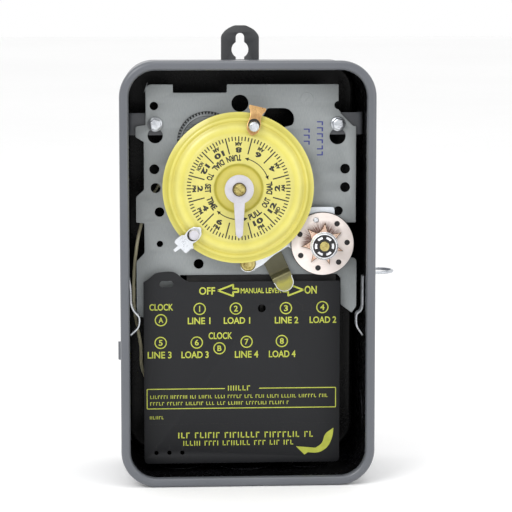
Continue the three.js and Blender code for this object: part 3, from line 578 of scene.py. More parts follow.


# ---- clock motor and gears ----
# A round synchronous motor in a steel can behind the plate; its brass pinion drives a fine-toothed steel reduction
# gear, which drives the brass gear behind the dial. A dark ring behind the steel gear is painted shade, so that its
# tooth gaps read dark.
motor_zinc = finish("motor_zinc", linear(120, 124, 126), linear(150, 153, 155), (0.35, 0.5), 0.7, patch=16, grain=0.6,
                    lift=0.006)
brass = finish("turned_brass", linear(146, 130, 74), linear(212, 198, 130), (0.2, 0.36), 0.85, patch=3, grain=0.25,
               stretch=(1, 4, 1), lift=0.005)
repaint(motor_zinc, "clock_motor")
repaint(brass, "motor_pinion", "gear_post", "dial_spindle", "dial_gear", "dial_sleeve")
repaint(bright_zinc, "dial_spring", "lever_shaft")


def gear_outline(centre, teeth, tip, root):
    """Rounded teeth: the radius eases between root and tip along a flattened cosine of teeth x angle."""
    a = np.arange(teeth * 14) * 2 * np.pi / (teeth * 14)
    r = (tip + root) / 2 + (tip - root) / 2 * np.tanh(2.2 * np.cos(a * teeth)) / np.tanh(2.2)
    return np.column_stack([centre[0] + r * np.cos(a), centre[1] + r * np.sin(a)])


low, high = corners("reduction_gear")
gear_at = axis_of("reduction_gear")
TEETH, GEAR_THICK, TOOTH = 56, 1.4, 1.25
gear_r = (high[0] - low[0]) / 2
web = [(2, -52.35), (12.6, -52.35), (12.9, -52.55), (13.3, -52.55), (13.6, -52.35), (13.6, -52.2), (2, -52.2)]
hub = [(1.6, -52.2), (3.4, -52.2), (3.4, -53.1), (3, -53.6), (1.6, -53.6)]
gear_steel = finish("gear_steel", linear(100, 104, 106), linear(134, 137, 138), (0.35, 0.5), 0.7, patch=8, grain=0.3,
                    lift=0.006)
# A near-black ring in the gap between plate and gear: painted shade behind the teeth.
GAP_FRONT, GAP_BACK, GAP_INNER = -50.8, -50.6, 12.8
gear_shade_black = finish("gear_shade_black", linear(24, 25, 26), linear(40, 41, 42), (0.5, 0.65), patch=3, grain=0.3)
piece("gear_shade_ring", [turned([(GAP_INNER, GAP_BACK), (gear_r + 0.1, GAP_BACK), (gear_r + 0.1, GAP_FRONT),
                           (GAP_INNER, GAP_FRONT)], gear_at, 120)], [gear_shade_black], "reduction")
piece("fine_tooth_gear", [cut([gear_outline(gear_at, TEETH, gear_r, gear_r - TOOTH), circle(*gear_at, 1.5)], high[1],
                              GEAR_THICK, 0.08), turned(web, gear_at), turned(softened(hub, 0.2, 3), gear_at)],
      [gear_steel], "reduction", ["reduction_gear"])


# ---- dial ----
# A spun aluminium dial with a dished middle, a flat hour ring and a sloping rim with rolled beads, enamelled yellow.
# It turns once a day, and is pulled out against its spring to be set.
dial_at = axis_of("dial")
DIAL_FRONT = corners("dial")[0][1]
DIAL_PROFILE = [(5.4, -62.9), (8.4, -63.1), (10.6, -63.4), (11.5, -63.7), (12.5, -64.45), (13.3, -64.5), (26.8, -64.5),
                (27.6, -64.2), (28.6, -63.85), (30.4, -63.75), (31.6, -63.2), (32.6, -62.55), (33.3, -62.35),
                (33.8, -62.75), (34.9, -62.45), (35.8, -61.6), (36.8, -61.15), (38, -60.6)]
dial_front = softened(DIAL_PROFILE, 0.7, 6, closed=False)
dial_back = softened([(r, y + 1.2) for r, y in DIAL_PROFILE], 0.7, 4, closed=False)[::-1]
dial_back[:, 0] = np.clip(dial_back[:, 0], 5.4, 38)
dial_rows = np.vstack([dial_front, [(38.0, -60.0)], dial_back])
material, tree, principled, place = blank_material("dial_enamel_and_shade", Roughness=0.36, Coat_Weight=0.3, Coat_Roughness=0.18)
from_axis = shader(tree, "Mapping", {"Vector": place, "Location": (-dial_at[0] * MM, 0, -dial_at[1] * MM),
                                     "Scale": (1, 0, 1)})
radius = shader(tree, "VectorMath", {0: from_axis.outputs[0]}, operation="LENGTH").outputs["Value"]
# Yellow by radius from the axis: darker in the grooves and where the dish meets the hour ring, as painted shade, and
# lighter on the beads and the outer edge, as painted highlight.
DIAL_TONES_WITH_SHADE = [(0.0, (208, 196, 92)), (5.4, (208, 196, 92)), (8.5, (214, 203, 104)), (10.9, (204, 192, 88)),
              (11.9, (176, 166, 62)), (12.8, (206, 198, 104)), (16, (206, 198, 106)), (26.5, (208, 200, 108)),
              (28.4, (212, 202, 92)), (31, (220, 212, 114)), (33.5, (194, 182, 72)), (34.9, (222, 213, 106)),
              (36.4, (202, 191, 80)), (38.2, (226, 218, 112))]
RAMP_R = 40


def toned_by(tree, factor, tones):
    """A colour that runs through (place from 0 to 1, screen colour) pairs, in a straight line between neighbours."""
    ramp = shader(tree, "ValToRGB", {0: factor})
    while len(ramp.color_ramp.elements) < len(tones):
        ramp.color_ramp.elements.new(0.5)
    for stop, (spot, tone) in zip(ramp.color_ramp.elements, tones):
        stop.position, stop.color = spot, linear(*tone)
    return ramp.outputs[0]


outward = shader(tree, "MapRange", {"Value": radius, "From Max": RAMP_R * MM})
dial_shaded_tone = toned_by(tree, outward.outputs[0], [(r / RAMP_R, tone) for r, tone in DIAL_TONES_WITH_SHADE])
mist = shader(tree, "TexNoise", {"Vector": place, "Scale": 70.0, "Detail": 5.0, "Roughness": 0.6})
peel = shader(tree, "TexNoise", {"Vector": place, "Scale": 900.0, "Detail": 2.0})
fade = shader(tree, "MapRange", {"Value": mist.outputs[0], "From Min": 0.35, "From Max": 0.7, "To Min": 0.9,
                                 "To Max": 1.03})
toned = shader(tree, "VectorMath", {0: dial_shaded_tone, 1: fade.outputs[0]}, operation="MULTIPLY")
tree.links.new(toned.outputs[0], principled.inputs["Base Color"])
peel_bump = shader(tree, "Bump", {"Height": peel.outputs[0], "Strength": 0.6, "Distance": 0.02 * MM})
tree.links.new(peel_bump.outputs[0], principled.inputs["Normal"])
dial_enamel_and_shade = material
piece("spun_dial", [turned(dial_rows, dial_at, 180)], [dial_enamel_and_shade], "dial_body", ["dial"], 60)


# ---- dial print ----
# Black screen print on the hour ring: a line every two hours, a tick every quarter hour, the hours with their tops
# to the centre, and the setting words between two arrowed arcs.
def lettering(text, weight):
    """A line of plain letters as a thin solid that fills the unit square in X and Y; weight thickens the strokes."""
    curve = bpy.data.curves.new("letters", "FONT")
    curve.body, curve.extrude, curve.offset, curve.resolution_u = text, 0.5, weight, 5
    points, faces = as_arrays(curve)
    low_end, span = points.min(0), np.ptp(points, 0)
    return (points - low_end) / span, faces


def dial_word(text, from_angle, to_angle, outer, inner, weight=0.02):
    """Letters bent round the dial: along the word the clock angle runs from one to the other, and up the letters the
    radius runs from outer to inner, so that their tops face the centre."""
    unit, faces = lettering(text, weight)
    a = np.radians(from_angle + unit[:, 0] * (to_angle - from_angle))
    r = outer + unit[:, 1] * (inner - outer)
    return np.column_stack([dial_at[0] + r * np.sin(a), DIAL_FRONT + 0.02 - INK * unit[:, 2],
                            dial_at[1] + r * np.cos(a)]), faces


def dial_line(clock, inner, outer, width):
    """A radial line at a clock angle in degrees."""
    a, middle = math.radians(clock), (inner + outer) / 2
    return bar(dial_at[0] + middle * math.sin(a), dial_at[1] + middle * math.cos(a), width, outer - inner,
               DIAL_FRONT + 0.02, INK, a)


def dial_arc(start, end, r, width):
    """An arc at radius r between two clock angles, with a solid head at each end."""
    a = np.radians(np.linspace(start, end, 36))
    path = np.column_stack([dial_at[0] + r * np.sin(a), 0 * a + DIAL_FRONT + 0.02 - INK / 2,
                            dial_at[1] + r * np.cos(a)])
    made = [swept(path, (0, 1, 0), INK / 2, width / 2)]
    for tip, turn in ((start, 1), (end, -1)):
        a = np.radians([tip, tip + 6.5 * turn, tip + 6.5 * turn])
        reach_r = np.array([r, r + 0.95, r - 0.95])
        made.append(prism(np.column_stack([dial_at[0] + reach_r * np.sin(a), dial_at[1] + reach_r * np.cos(a)]),
                          DIAL_FRONT + 0.02, INK))
    return made


LINE_BAND, FIGURE_BAND, HALF_DAY_BAND, WORD_BAND = (17.7, 25.9), (20.7, 17.9), (23.3, 21.3), (17.0, 13.9)
LINE_WIDTH, TICK_WIDTH, TICKS_PER_LINE, TICK_ANGLE = 0.62, 0.58, 8, 3.75
HOURS = [("8", "AM"), ("6", "AM"), ("4", "AM"), ("2", "AM"), ("12", "MID"), ("10", "PM"), ("8", "PM"), ("6", "PM"),
         ("4", "PM"), ("2", "PM"), ("12", "NOON"), ("10", "AM")]
marks = []
for number, (hour, half_day) in enumerate(HOURS):
    clock = 30 * number
    marks.append(dial_line(clock + 15, *LINE_BAND, LINE_WIDTH))
    for tick in range(1, TICKS_PER_LINE):
        marks.append(dial_line(clock - 15 + TICK_ANGLE * tick, 23.5 if tick == 4 else 23.9,
                               25.9 if tick % 2 else 26.1, TICK_WIDTH))
    spread = 8.0 if len(hour) == 2 else 4.5
    marks.append(dial_word(hour, clock + spread, clock - spread, *FIGURE_BAND, 0.055))
    spread = {"NOON": 6.0, "MID": 5.0}.get(half_day, 4.3)
    marks.append(dial_word(half_day, clock + spread, clock - spread, *HALF_DAY_BAND, 0.05))
for word, start, end in [("TURN", 5, -23), ("DIAL", -29, -53), ("TO", -61, -74), ("SET", -81, -98),
                         ("TIME", -106, -131), ("PULL", 161, 136), ("OUT", 127, 108), ("DIAL", 101, 78)]:
    marks.append(dial_word(word, start, end, *WORD_BAND, 0.045))
marks += dial_arc(12, 73, 15.4, 0.45) + dial_arc(164, 224, 15.6, 0.45)
black_ink = finish("black_ink", linear(24, 24, 22), linear(38, 37, 32), (0.45, 0.6), patch=4, grain=0.3, lift=0.002)
piece("dial_print", marks, [black_ink], "dial_body", sharp=20)


# ---- pointer ----
# A blanked and enamelled cream hand fixed on the spindle's end, with pressed ticks down its blade. A slotted brass
# screw holds it.
low, high = corners("pointer")
POINTER_BACK, POINTER_THICK = high[1], high[1] - low[1]
hub_r = (high[0] - low[0]) / 2
pointer_tip = low[2] - dial_at[1] - 0.1
fan = circle(0, 0, hub_r, 60, -68, 248)
hand = np.vstack([fan, softened([(-2.75, -7.1), (-1.75, -22.9), (0, pointer_tip), (1.75, -22.9),
                                 (2.75, -7.1)], [0, 0.5, 0.9, 0.5, 0], 5, closed=False)])
hand = hand + np.array(dial_at)
cream = finish("pointer_enamel", linear(178, 176, 182), linear(196, 194, 200), (0.34, 0.5), patch=5, grain=0.5,
               lift=0.012, Coat_Weight=0.2, Coat_Roughness=0.25)
ticks = [bar(dial_at[0], dial_at[1] - z, 1.7, 0.16, low[1] + 0.05, 0.09) for z in (12, 16, 18.4, 20.8)]
ticks += [bar(dial_at[0] + x, dial_at[1] + z, w, h, low[1] + 0.05, 0.09)
          for x, z, w, h in [(0, 5.6, 0.2, 1.3), (-5.4, 0, 1.3, 0.2), (5.4, 0, 1.3, 0.2), (0, -6.4, 1.2, 0.2)]]
piece("cream_pointer", [cut([hand, circle(*dial_at, 1.9)], POINTER_BACK, POINTER_THICK, 0.25)] + ticks, [cream],
      "case", ["pointer"])

low, high = corners("pointer_screw")
head_back, head_r = high[1] - 1.5, (high[0] - low[0]) / 2
screw_head = relief(dial_at, low[1] + 0.55, head_back,
                    lambda x, z, s: 0.55 * (1 - s**4) - 0.5 * step_up(s, 0.8, 1) - slot_cut(x, z, 0.8, 0.75, 38, 4.4)
                    - 0.16 * (step_up(s, 0.66, 0.7) - step_up(s, 0.74, 0.78)), lambda a: 0 * a + head_r, 60, 120)
# Dark brass for the pointer screw's seat; also the painted shade along the star spring's tooth edges.
dark_brass_and_shade = finish("dark_brass_and_shade", linear(58, 46, 26), linear(96, 80, 46), (0.4, 0.55), 0.7, patch=2, grain=0.3)
piece("pointer_slotted_screw", [screw_head], [brass], "case", ["pointer_screw"], 50)
piece("pointer_screw_seat", [turned([(head_r + 0.05, low[1] + 1.7), (head_r + 0.42, low[1] + 1.7),
                                     (head_r + 0.42, low[1] + 2.6), (head_r + 0.05, low[1] + 2.6)], dial_at)],
      [dark_brass_and_shade], "case")


# ---- trippers ----
# Two clips fixed on the dial's rim: the yellow-passivated one turns the switch on, the bright one turns it off. Each is
# one bent strip hooked over the rim, with a thumb screw through a round eye near its pointed inner end.
def placed(parts, clock):
    """Parts drawn pointing up from the dial's axis, turned clockwise to their hour and moved onto the axis."""
    c, s = math.cos(math.radians(clock)), math.sin(math.radians(clock))
    return [(np.column_stack([dial_at[0] + p[:, 0] * c + p[:, 2] * s, p[:, 1], dial_at[1] - p[:, 0] * s
                              + p[:, 2] * c]), faces) for p, faces in parts]


ARM_RISE = [(27.3, -65.75), (29, -65.55), (33, -64.7), (36, -63.7), (38.4, -62.8), (40, -62.4), (42, -62.3)]
gold_steel = finish("gold_steel", linear(168, 122, 74), linear(226, 186, 128), (0.26, 0.42), 0.75, patch=4, grain=0.3,
                    stretch=(1, 1, 0.5), lift=0.01, fleck=linear(124, 84, 48))
white_steel = finish("white_steel", linear(196, 200, 206), linear(240, 242, 245), (0.24, 0.4), 0.6, patch=5,
                     grain=0.3, lift=0.006)
eye_shadow = finish("eye_shadow", linear(20, 17, 12), linear(36, 31, 24), (0.5, 0.65), patch=2, grain=0.3)
TRIPPERS = {
    "on": dict(clock=13.4, metal=gold_steel, screw=bright_zinc, slot="gold_steel", screw_slot="bright_zinc",
               widths=[(27.3, 0.25), (28.2, 1.7), (29.4, 2.8), (31.5, 3.35), (33.6, 3.2), (36.5, 2.7), (38.6, 3.1),
                       (40.6, 4.3), (41.6, 4.25), (42, 3.9)]),
    "off": dict(clock=224.6, metal=white_steel, screw=cream, slot="bright_zinc", screw_slot="brass",
                widths=[(27.0, 0.15), (28.0, 1.2), (29.4, 2.7), (31.5, 3.4), (33.6, 3.35), (35.8, 3.0), (36.6, 3.9),
                        (38.4, 4.2), (40.6, 4.3), (41.6, 4.1), (42, 3.6)])}
for name, clip in TRIPPERS.items():
    u = np.linspace(27.3, 41.9, 46)
    rise = np.array(ARM_RISE)
    arm_path = np.column_stack([0 * u, np.interp(u, rise[:, 0], rise[:, 1]), u])
    widths = np.array(clip["widths"])
    arm = swept(arm_path, (1, 0, 0), np.interp(u, widths[:, 0], widths[:, 1]), 0.35)
    hook = softened([(0, -62.3, 39.9), (0, -58.4, 39.2), (0, -58.4, 35.6)], [0, 0.8, 0], 7, closed=False)
    parts = [arm, swept(hook, (1, 0, 0), 2.9, 0.38)]
    strokes = [(0.9, 38.6, 0.25, 1.7, 0.5), (-0.9, 38.8, 0.25, 1.5, -0.35), (0.2, 40.2, 1.6, 0.22, 0.2)]
    parts += [bar(x, z, w, h, -62.85 - (38.6 - z) * 0.25, 0.28, turn) for x, z, w, h, turn in strokes]
    if name == "off":
        parts.append(swept([(0.4, -61.9, 41.4), (0.6, -61.5, 43.2), (0.9, -61.4, 45.1)], (1, 0, 0), [1.0, 0.9, 0.7],
                           0.3))
        parts.append(swept([(-3.4, -61.2, 37.8), (-4.6, -61.1, 38.6)], (0, 0, 1), [1.5, 1.2], 0.3))
    piece(f"{name}_clip_arm", placed(parts, clip["clock"]), [clip["metal"]], f"{name}_clip",
          [f"{name}_tripper"])
    eye_shift = 0.55 * (1 if name == "on" else -1) * math.cos(math.radians(clip["clock"]))
    eye = turned(softened([(0, -65.3), (3.0, -65.3), (3.0, -65.62), (0, -65.62)], [0, .1, .1, 0], 3, closed=False),
                 (0, 32.3 + eye_shift), 60)
    piece(f"{name}_clip_eye", placed([eye], clip["clock"]), [eye_shadow], f"{name}_clip")
    low, high = corners(f"{name}_tripper_screw")
    head_front = low[1]
    ringed = 0.18 if name == "on" else 0.0
    knob = relief((0, 32), head_front + 0.5, -65.5, lambda x, z, s: 0.5 * (1 - s**5) + ringed
                  * (step_up(s, 0.5, 0.56) - step_up(s, 0.66, 0.72)) - 0.5 * step_up(s, 0.86, 1.0) * (s - 0.86) / 0.14,
                  lambda a: 0 * a + 2.6, 44, 96)
    piece(f"{name}_clip_screw", placed([knob], clip["clock"]), [clip["screw"]], f"{name}_clip",
          [f"{name}_tripper_screw"], 60)


# ---- manual lever and switch ----
# A blanked, yellow-passivated steel lever on a pin in the plate. It steps forward under the dial and ends in a rounded
# finger pad; along its length its colour carries painted shade under the dial and a painted highlight at the rounded
# end. Behind the plate, a moulded cam on its shaft slides the contact bar.
low, high = corners("manual_lever")
lever_at = axis_of("lever_shaft")
LEAN, TIP, LEVER_BACK, PAD_FRONT = math.radians(25), 31.0, high[1], low[1]
material, tree, principled, place = blank_material("lever_passivation_and_shade", Metallic=0.55, Coat_Weight=0.1)
along = shader(tree, "VectorMath", {0: place, 1: (math.sin(LEAN), 0, -math.cos(LEAN))}, operation="DOT_PRODUCT")
start_of = (lever_at[0] * math.sin(LEAN) - lever_at[1] * math.cos(LEAN)) * MM
stage = shader(tree, "MapRange", {"Value": along.outputs["Value"], "From Min": start_of,
                                  "From Max": start_of + 0.032})
wisp = shader(tree, "TexNoise", {"Vector": place, "Scale": 420.0, "Detail": 5.0, "Roughness": 0.7})
wander = shader(tree, "Math", {0: wisp.outputs[0], 1: 0.16, 2: -0.08}, operation="MULTIPLY_ADD")
shifted = shader(tree, "Math", {0: stage.outputs[0], 1: wander.outputs[0]}, operation="ADD")
# From the pivot outwards: grey about the pivot, a dark line of painted shadow at the bracket's edge, dark olive painted
# shade and reflection under the dial, the lit yellow of the passivation, and a whitish painted highlight at the end.
LEVER_TONES_WITH_SHADE = [(0, (120, 124, 120)), (0.3, (58, 58, 46)), (0.42, (92, 90, 70)), (0.62, (80, 77, 56)),
               (0.76, (112, 108, 72)), (0.84, (158, 153, 72)), (0.94, (144, 140, 80)), (1.0, (186, 184, 146))]
tree.links.new(toned_by(tree, shifted.outputs[0], LEVER_TONES_WITH_SHADE), principled.inputs["Base Color"])
rubbed = shader(tree, "MapRange", {"Value": wisp.outputs[0], "From Min": 0.3, "From Max": 0.7, "To Min": 0.28,
                                   "To Max": 0.48})
tree.links.new(rubbed.outputs[0], principled.inputs["Roughness"])
grain = shader(tree, "Bump", {"Height": wisp.outputs[0], "Strength": 1.0, "Distance": 0.02 * MM})
tree.links.new(grain.outputs[0], principled.inputs["Normal"])
lever_finish = material


def leaned(parts, pivot, lean):
    """Parts drawn hanging straight down from the pivot, turned to the right and moved onto it."""
    c, s = math.cos(lean), math.sin(lean)
    return [(np.column_stack([pivot[0] + p[:, 0] * c - p[:, 2] * s, p[:, 1], pivot[1] + p[:, 0] * s
                              + p[:, 2] * c]), faces) for p, faces in parts]


bend = softened([(0, LEVER_BACK - 0.6, -2.6), (0, LEVER_BACK - 0.6, -21.7), (0, PAD_FRONT + 0.6, -22.7),
                 (0, PAD_FRONT + 0.6, -TIP)], [0, 0.5, 1.0, 0], 8, closed=False)
bend = np.vstack([bend[:-1], np.linspace(bend[-2], bend[-1], 26)[1:]])
drop = -bend[:, 2]
half = np.interp(drop, [2, 15, 21.5, 25, 31], [5.4, 5.8, 5.2, 4.9, 4.6])
half = np.where(drop > TIP - 4.6, np.sqrt(np.maximum(4.6**2 - (drop - TIP + 4.6) ** 2, 0.02)), half)
hub = turned(softened([(2.3, LEVER_BACK), (6, LEVER_BACK), (6, LEVER_BACK - 1.2), (2.3, LEVER_BACK - 1.2)],
                      0.2, 3), (0, 0), 64)
stamped = [bar(x, -z, w, h, PAD_FRONT + 0.04, 0.12) for x, z, w, h in
           [(-2.2, 25.6, 2.2, 0.3), (1.6, 25.2, 0.3, 1.6), (-0.8, 27.4, 2.8, 0.3), (2.2, 27.9, 1.4, 0.3)]]
piece("finger_lever", leaned([hub, swept(bend, (1, 0, 0), half, 0.6)] + stamped, lever_at, LEAN), [lever_finish],
      "lever", ["manual_lever"])
# A thin bright line round the pad's rounded end: a painted highlight on its edge.
end = circle(0, -TIP + 4.6, 4.55, 40, 172, 368)
edge = np.vstack([[(-4.85, -24.6)], end, [(4.85, -24.6)]])
piece("lever_pad_highlight", leaned([swept(np.insert(edge, 1, PAD_FRONT + 0.12, axis=1), (0, 1, 0), 0.14, 0.24, ROUND)],
                               lever_at, LEAN), [bright_zinc], "lever")
phenolic = finish("black_phenolic", linear(26, 25, 25), linear(44, 42, 41), (0.4, 0.58), patch=5, grain=0.25,
                  lift=0.012, fleck=linear(58, 54, 50))
copper = finish("contact_copper", linear(150, 88, 62), linear(206, 142, 108), (0.28, 0.42), 0.9, patch=3, grain=0.3,
                lift=0.006)
repaint(phenolic, "switch_cam", "contact_bar", "terminal_block")
repaint(copper, *[f"{kind}_contact_{n}" for kind in ("moving", "fixed") for n in (1, 2, 3, 4)])


# ---- skip wheel bracket ----
# A bent strip of bright white zinc-plated steel in front of the plate. It is staked to a brass stud beside the lever
# and carries the skip-a-day wheel's post at its other end.
low, high = corners("skip_bracket")
stud_low, stud_high = corners("bracket_stud")
stud_at = axis_of("bracket_stud")
wheel_low, wheel_high = corners("skip_disc")
wheel_at = axis_of("skip_disc")
BRACKET_BACK = low[1] + 1.2
outline = np.vstack([[(-2.7, 5)], circle(*stud_at, 4.4, 24, 180 + math.degrees(0.6), 270 + math.degrees(0.75)),
                     softened([(8.6, 3), (13.6, 7.4), (21.5, 12.4), (27, 6), (50, 6), (50, 17), (44.9, 22),
                               (44.9, 32.1), (33, 32.1), (26.5, 25), (14, 16), (2, 9.4), (-2.6, 8)],
                              [0, 1, 1, 1, .6, 1, 1, 1.7, 1, 1, 1, 1, 0], 5, closed=False)])
white_zinc = finish("white_zinc", linear(222, 229, 238), linear(244, 248, 252), (0.34, 0.48), 0.12, patch=7, grain=0.4,
                    stretch=(1, 1, 0.25), lift=0.008)
foot = prism([(39, 25.5), (44.5, 25.5), (44.5, 30), (39, 30)], high[1], high[1] - BRACKET_BACK + 0.2)
marks = [bar(x, z, w, h, low[1] + 0.06, 0.12) for x, z, w, h in
         [(37.5, 30.6, 1.6, 0.22), (40.2, 30.4, 0.22, 1.1), (42, 30.5, 1.1, 0.22), (4, 0.2, 1.3, 0.2)]]
piece("wheel_bracket", [cut([outline, circle(*stud_at, 2.3), circle(*wheel_at, 2.6)], BRACKET_BACK, 1.2, 0.2), foot]
      + marks, [white_zinc], "case", ["skip_bracket"])
stud_r = (stud_high[0] - stud_low[0]) / 2
stud = relief(stud_at, stud_low[1] + 0.3, stud_high[1], lambda x, z, s: 0.3 * (1 - s**4) - 0.35 * step_up(s, 0.84, 1)
              - 0.32 * (step_up(s, 0.42, 0.5) - step_up(s, 0.56, 0.64)) - 0.7 * step_up(-z, 1.7, 1.9)
              * (1 - step_up(np.abs(x), 0.8, 1.0)), lambda a: 0 * a + stud_r, 50, 110)
piece("staked_stud", [stud], [brass], "case", ["bracket_stud"], 50)


# ---- skip-a-day wheel ----
# A pale enamelled disc with seven holes, one for each day, that take its shutter pin. A dished copper star spring
# presses on it, the disc turns brown near the teeth on its upper side, and a near-black disc just behind it is painted
# shade round its edge and in its holes. All turn on a brass post under a black push nut.
HOLES, PITCH_R, HOLE_R = 7, 12.5, 1.4
hole_angles = np.radians(2.5) + np.arange(HOLES) * 2 * np.pi / HOLES
disc_r = (wheel_high[0] - wheel_low[0]) / 2
material, tree, principled, place = blank_material("disc_enamel", Roughness=0.42, Coat_Weight=0.15)
from_post = shader(tree, "Mapping", {"Vector": place, "Location": (-wheel_at[0], 0, -wheel_at[1]),
                                     "Scale": (1000, 0, 1000)})
spoke = shader(tree, "SeparateXYZ", {0: from_post.outputs[0]})
reach_out = shader(tree, "VectorMath", {0: from_post.outputs[0]}, operation="LENGTH").outputs["Value"]
turn_at = shader(tree, "Math", {0: spoke.outputs[2], 1: spoke.outputs[0]}, operation="ARCTAN2").outputs[0]
streaks = shader(tree, "CombineXYZ", {0: shader(tree, "Math", {0: reach_out, 1: 0.05}, operation="MULTIPLY").outputs[0],
                                      1: shader(tree, "Math", {0: turn_at, 1: 6.0}, operation="MULTIPLY").outputs[0]})
brushed = shader(tree, "TexNoise", {"Vector": streaks.outputs[0], "Scale": 3.0, "Detail": 4.0, "Roughness": 0.7})
clouds = shader(tree, "TexNoise", {"Vector": place, "Scale": 260.0, "Detail": 4.0, "Roughness": 0.6})
# The disc turns brown in streaks inside radius 8.6 to 12.2, on the side facing up and a little to the left.
edge_in = shader(tree, "MapRange", {"Value": reach_out, "From Min": 8.6, "From Max": 12.2, "To Min": 1, "To Max": 0})
outward = shader(tree, "VectorMath", {0: from_post.outputs[0]}, operation="NORMALIZE")
faced = shader(tree, "VectorMath", {0: outward.outputs[0], 1: (-0.34, 0, 0.94)}, operation="DOT_PRODUCT")
above = shader(tree, "MapRange", {"Value": faced.outputs["Value"], "From Min": 0.08, "From Max": 0.32})
upper_inner_mask = shader(tree, "Math", {0: edge_in.outputs[0], 1: above.outputs[0]}, operation="MULTIPLY")
mottle = shader(tree, "MapRange", {"Value": brushed.outputs[0], "From Min": 0.3, "From Max": 0.5})
upper_inner_streaks = shader(tree, "Math", {0: upper_inner_mask.outputs[0], 1: mottle.outputs[0]}, operation="MULTIPLY")
base = shader(tree, "Mix", {0: clouds.outputs[0], 6: linear(232, 218, 210), 7: linear(248, 240, 236)},
              data_type="RGBA")
browned = shader(tree, "Mix", {0: upper_inner_streaks.outputs[0], 6: base.outputs[2], 7: linear(98, 62, 48)}, data_type="RGBA")
tree.links.new(browned.outputs[2], principled.inputs["Base Color"])
orange_peel = shader(tree, "Bump", {"Height": clouds.outputs[0], "Strength": 1.0, "Distance": 0.02 * MM})
tree.links.new(orange_peel.outputs[0], principled.inputs["Normal"])
disc_enamel = material
# Black steel for the push nut; also the painted shade of the disc behind the day disc.
black_steel = finish("black_steel", linear(18, 17, 18), linear(38, 36, 37), (0.24, 0.4), 0.2, patch=2, grain=0.25,
                     lift=0.008)
day_holes = [circle(wheel_at[0] + PITCH_R * np.cos(a), wheel_at[1] + PITCH_R * np.sin(a), HOLE_R, 28)
             for a in hole_angles]
piece("day_disc", [cut([circle(*wheel_at, disc_r, 120), circle(*wheel_at, 2.6)] + day_holes, wheel_high[1], 1.0,
                       0.22)], [disc_enamel], "skip_wheel", ["skip_disc"])
# A near-black disc just behind the day disc: painted shade that outlines it and fills its holes.
SHADE_DISC_R, SHADE_DISC_FRONT, SHADE_DISC_BACK = disc_r + 0.35, -55.8, -55.5
shade_disc = softened([(2.7, SHADE_DISC_BACK), (SHADE_DISC_R, SHADE_DISC_BACK), (SHADE_DISC_R, SHADE_DISC_FRONT),
                    (2.7, SHADE_DISC_FRONT)], 0.1, 3)
piece("wheel_shade_disc", [turned(shade_disc, wheel_at, 120)], [black_steel], "skip_wheel")
ball = softened([(0, -54.8), (1.0, -54.8), (1.25, -56.1), (1.5, -57.2), (0.8, -57.7), (0, -57.7)], 0.4, 4, closed=False)
piece("shutter_pin", [turned(ball, axis_of("skip_pin"), 40)], [bright_zinc], "skip_wheel", ["skip_pin"])

STAR_BACK, STAR_THICK, TOOTH_POINTS = corners("skip_star")[1][1], 0.7, 17
TEETH_AT = np.radians(33.5) + np.arange(HOLES) * 2 * np.pi / HOLES
t = np.linspace(0, 1, 9)[:, None]
teeth = []
for a in TEETH_AT:
    root_a, tip, root_b = (r * np.array([math.cos(b), math.sin(b)]) for r, b in
                           [(6.0, a - 0.43), (11.0, a - 0.03), (6.0, a + 0.43)])
    side_a = root_a + (tip - root_a) * t + 0.35 * np.sin(np.pi * t) * np.array([-math.sin(a), math.cos(a)])
    side_b = tip + (root_b - tip) * t - 0.35 * np.sin(np.pi * t) * np.array([-math.sin(a), math.cos(a)])
    teeth += [side_a, side_b[1:]]
star_outline = np.vstack(teeth) + np.array(wheel_at)
star_points, star_faces = cut([star_outline, circle(*wheel_at, 2.7, 48)], STAR_BACK, STAR_THICK, 0.16)
star_copper = finish("star_copper", linear(208, 160, 138), linear(244, 218, 196), (0.28, 0.42), 0.35, patch=2.5,
                     grain=0.3, lift=0.01, fleck=linear(120, 78, 58))
waist = softened([(2.7, -57.6), (5.0, -57.6), (4.7, -60.5), (5.0, -65), (5.2, -65.7), (2.7, -65.7)],
                 [.1, .4, 2, .6, .2, .1], 4)
piece("star_spring", [(star_points, star_faces), turned(waist, wheel_at, 60)], [star_copper], "skip_wheel",
      ["skip_star"])
# Thin dark lines along the teeth's edges on the star's front: painted shade at the edges.
tooth_edges = [star_outline[start:start + TOOTH_POINTS] for start in np.arange(HOLES) * TOOTH_POINTS]
edge_shade_lines = [swept(np.insert(edge, 1, STAR_BACK - STAR_THICK - 0.02, axis=1), (0, 1, 0), 0.06, 0.12)
        for edge in tooth_edges]
piece("star_edge_shade", edge_shade_lines, [dark_brass_and_shade], "skip_wheel")

nut_low, nut_high = corners("push_nut")
nut_r = (nut_high[0] - nut_low[0]) / 2


def nut_height(x, z, s):
    """How far the nut's face stands out: a shiny raised ring, and six tongues pressed in round the middle."""
    a = np.arctan2(z, x)
    r = np.hypot(x, z)
    return 0.15 * step_up(r, 5.3, 5.9) - 1.15 * step_up(r, 6.05, 7.05) + 0.12 * (1 - step_up(r, 2.9, 3.3)) \
        - 0.25 * (1 - step_up(np.abs(r - 4.3), 0.5, 0.65)) * (1 - step_up(np.abs(((a + np.pi / 6) % (np.pi / 3))
                                                                                   - np.pi / 6), 0.24, 0.3))


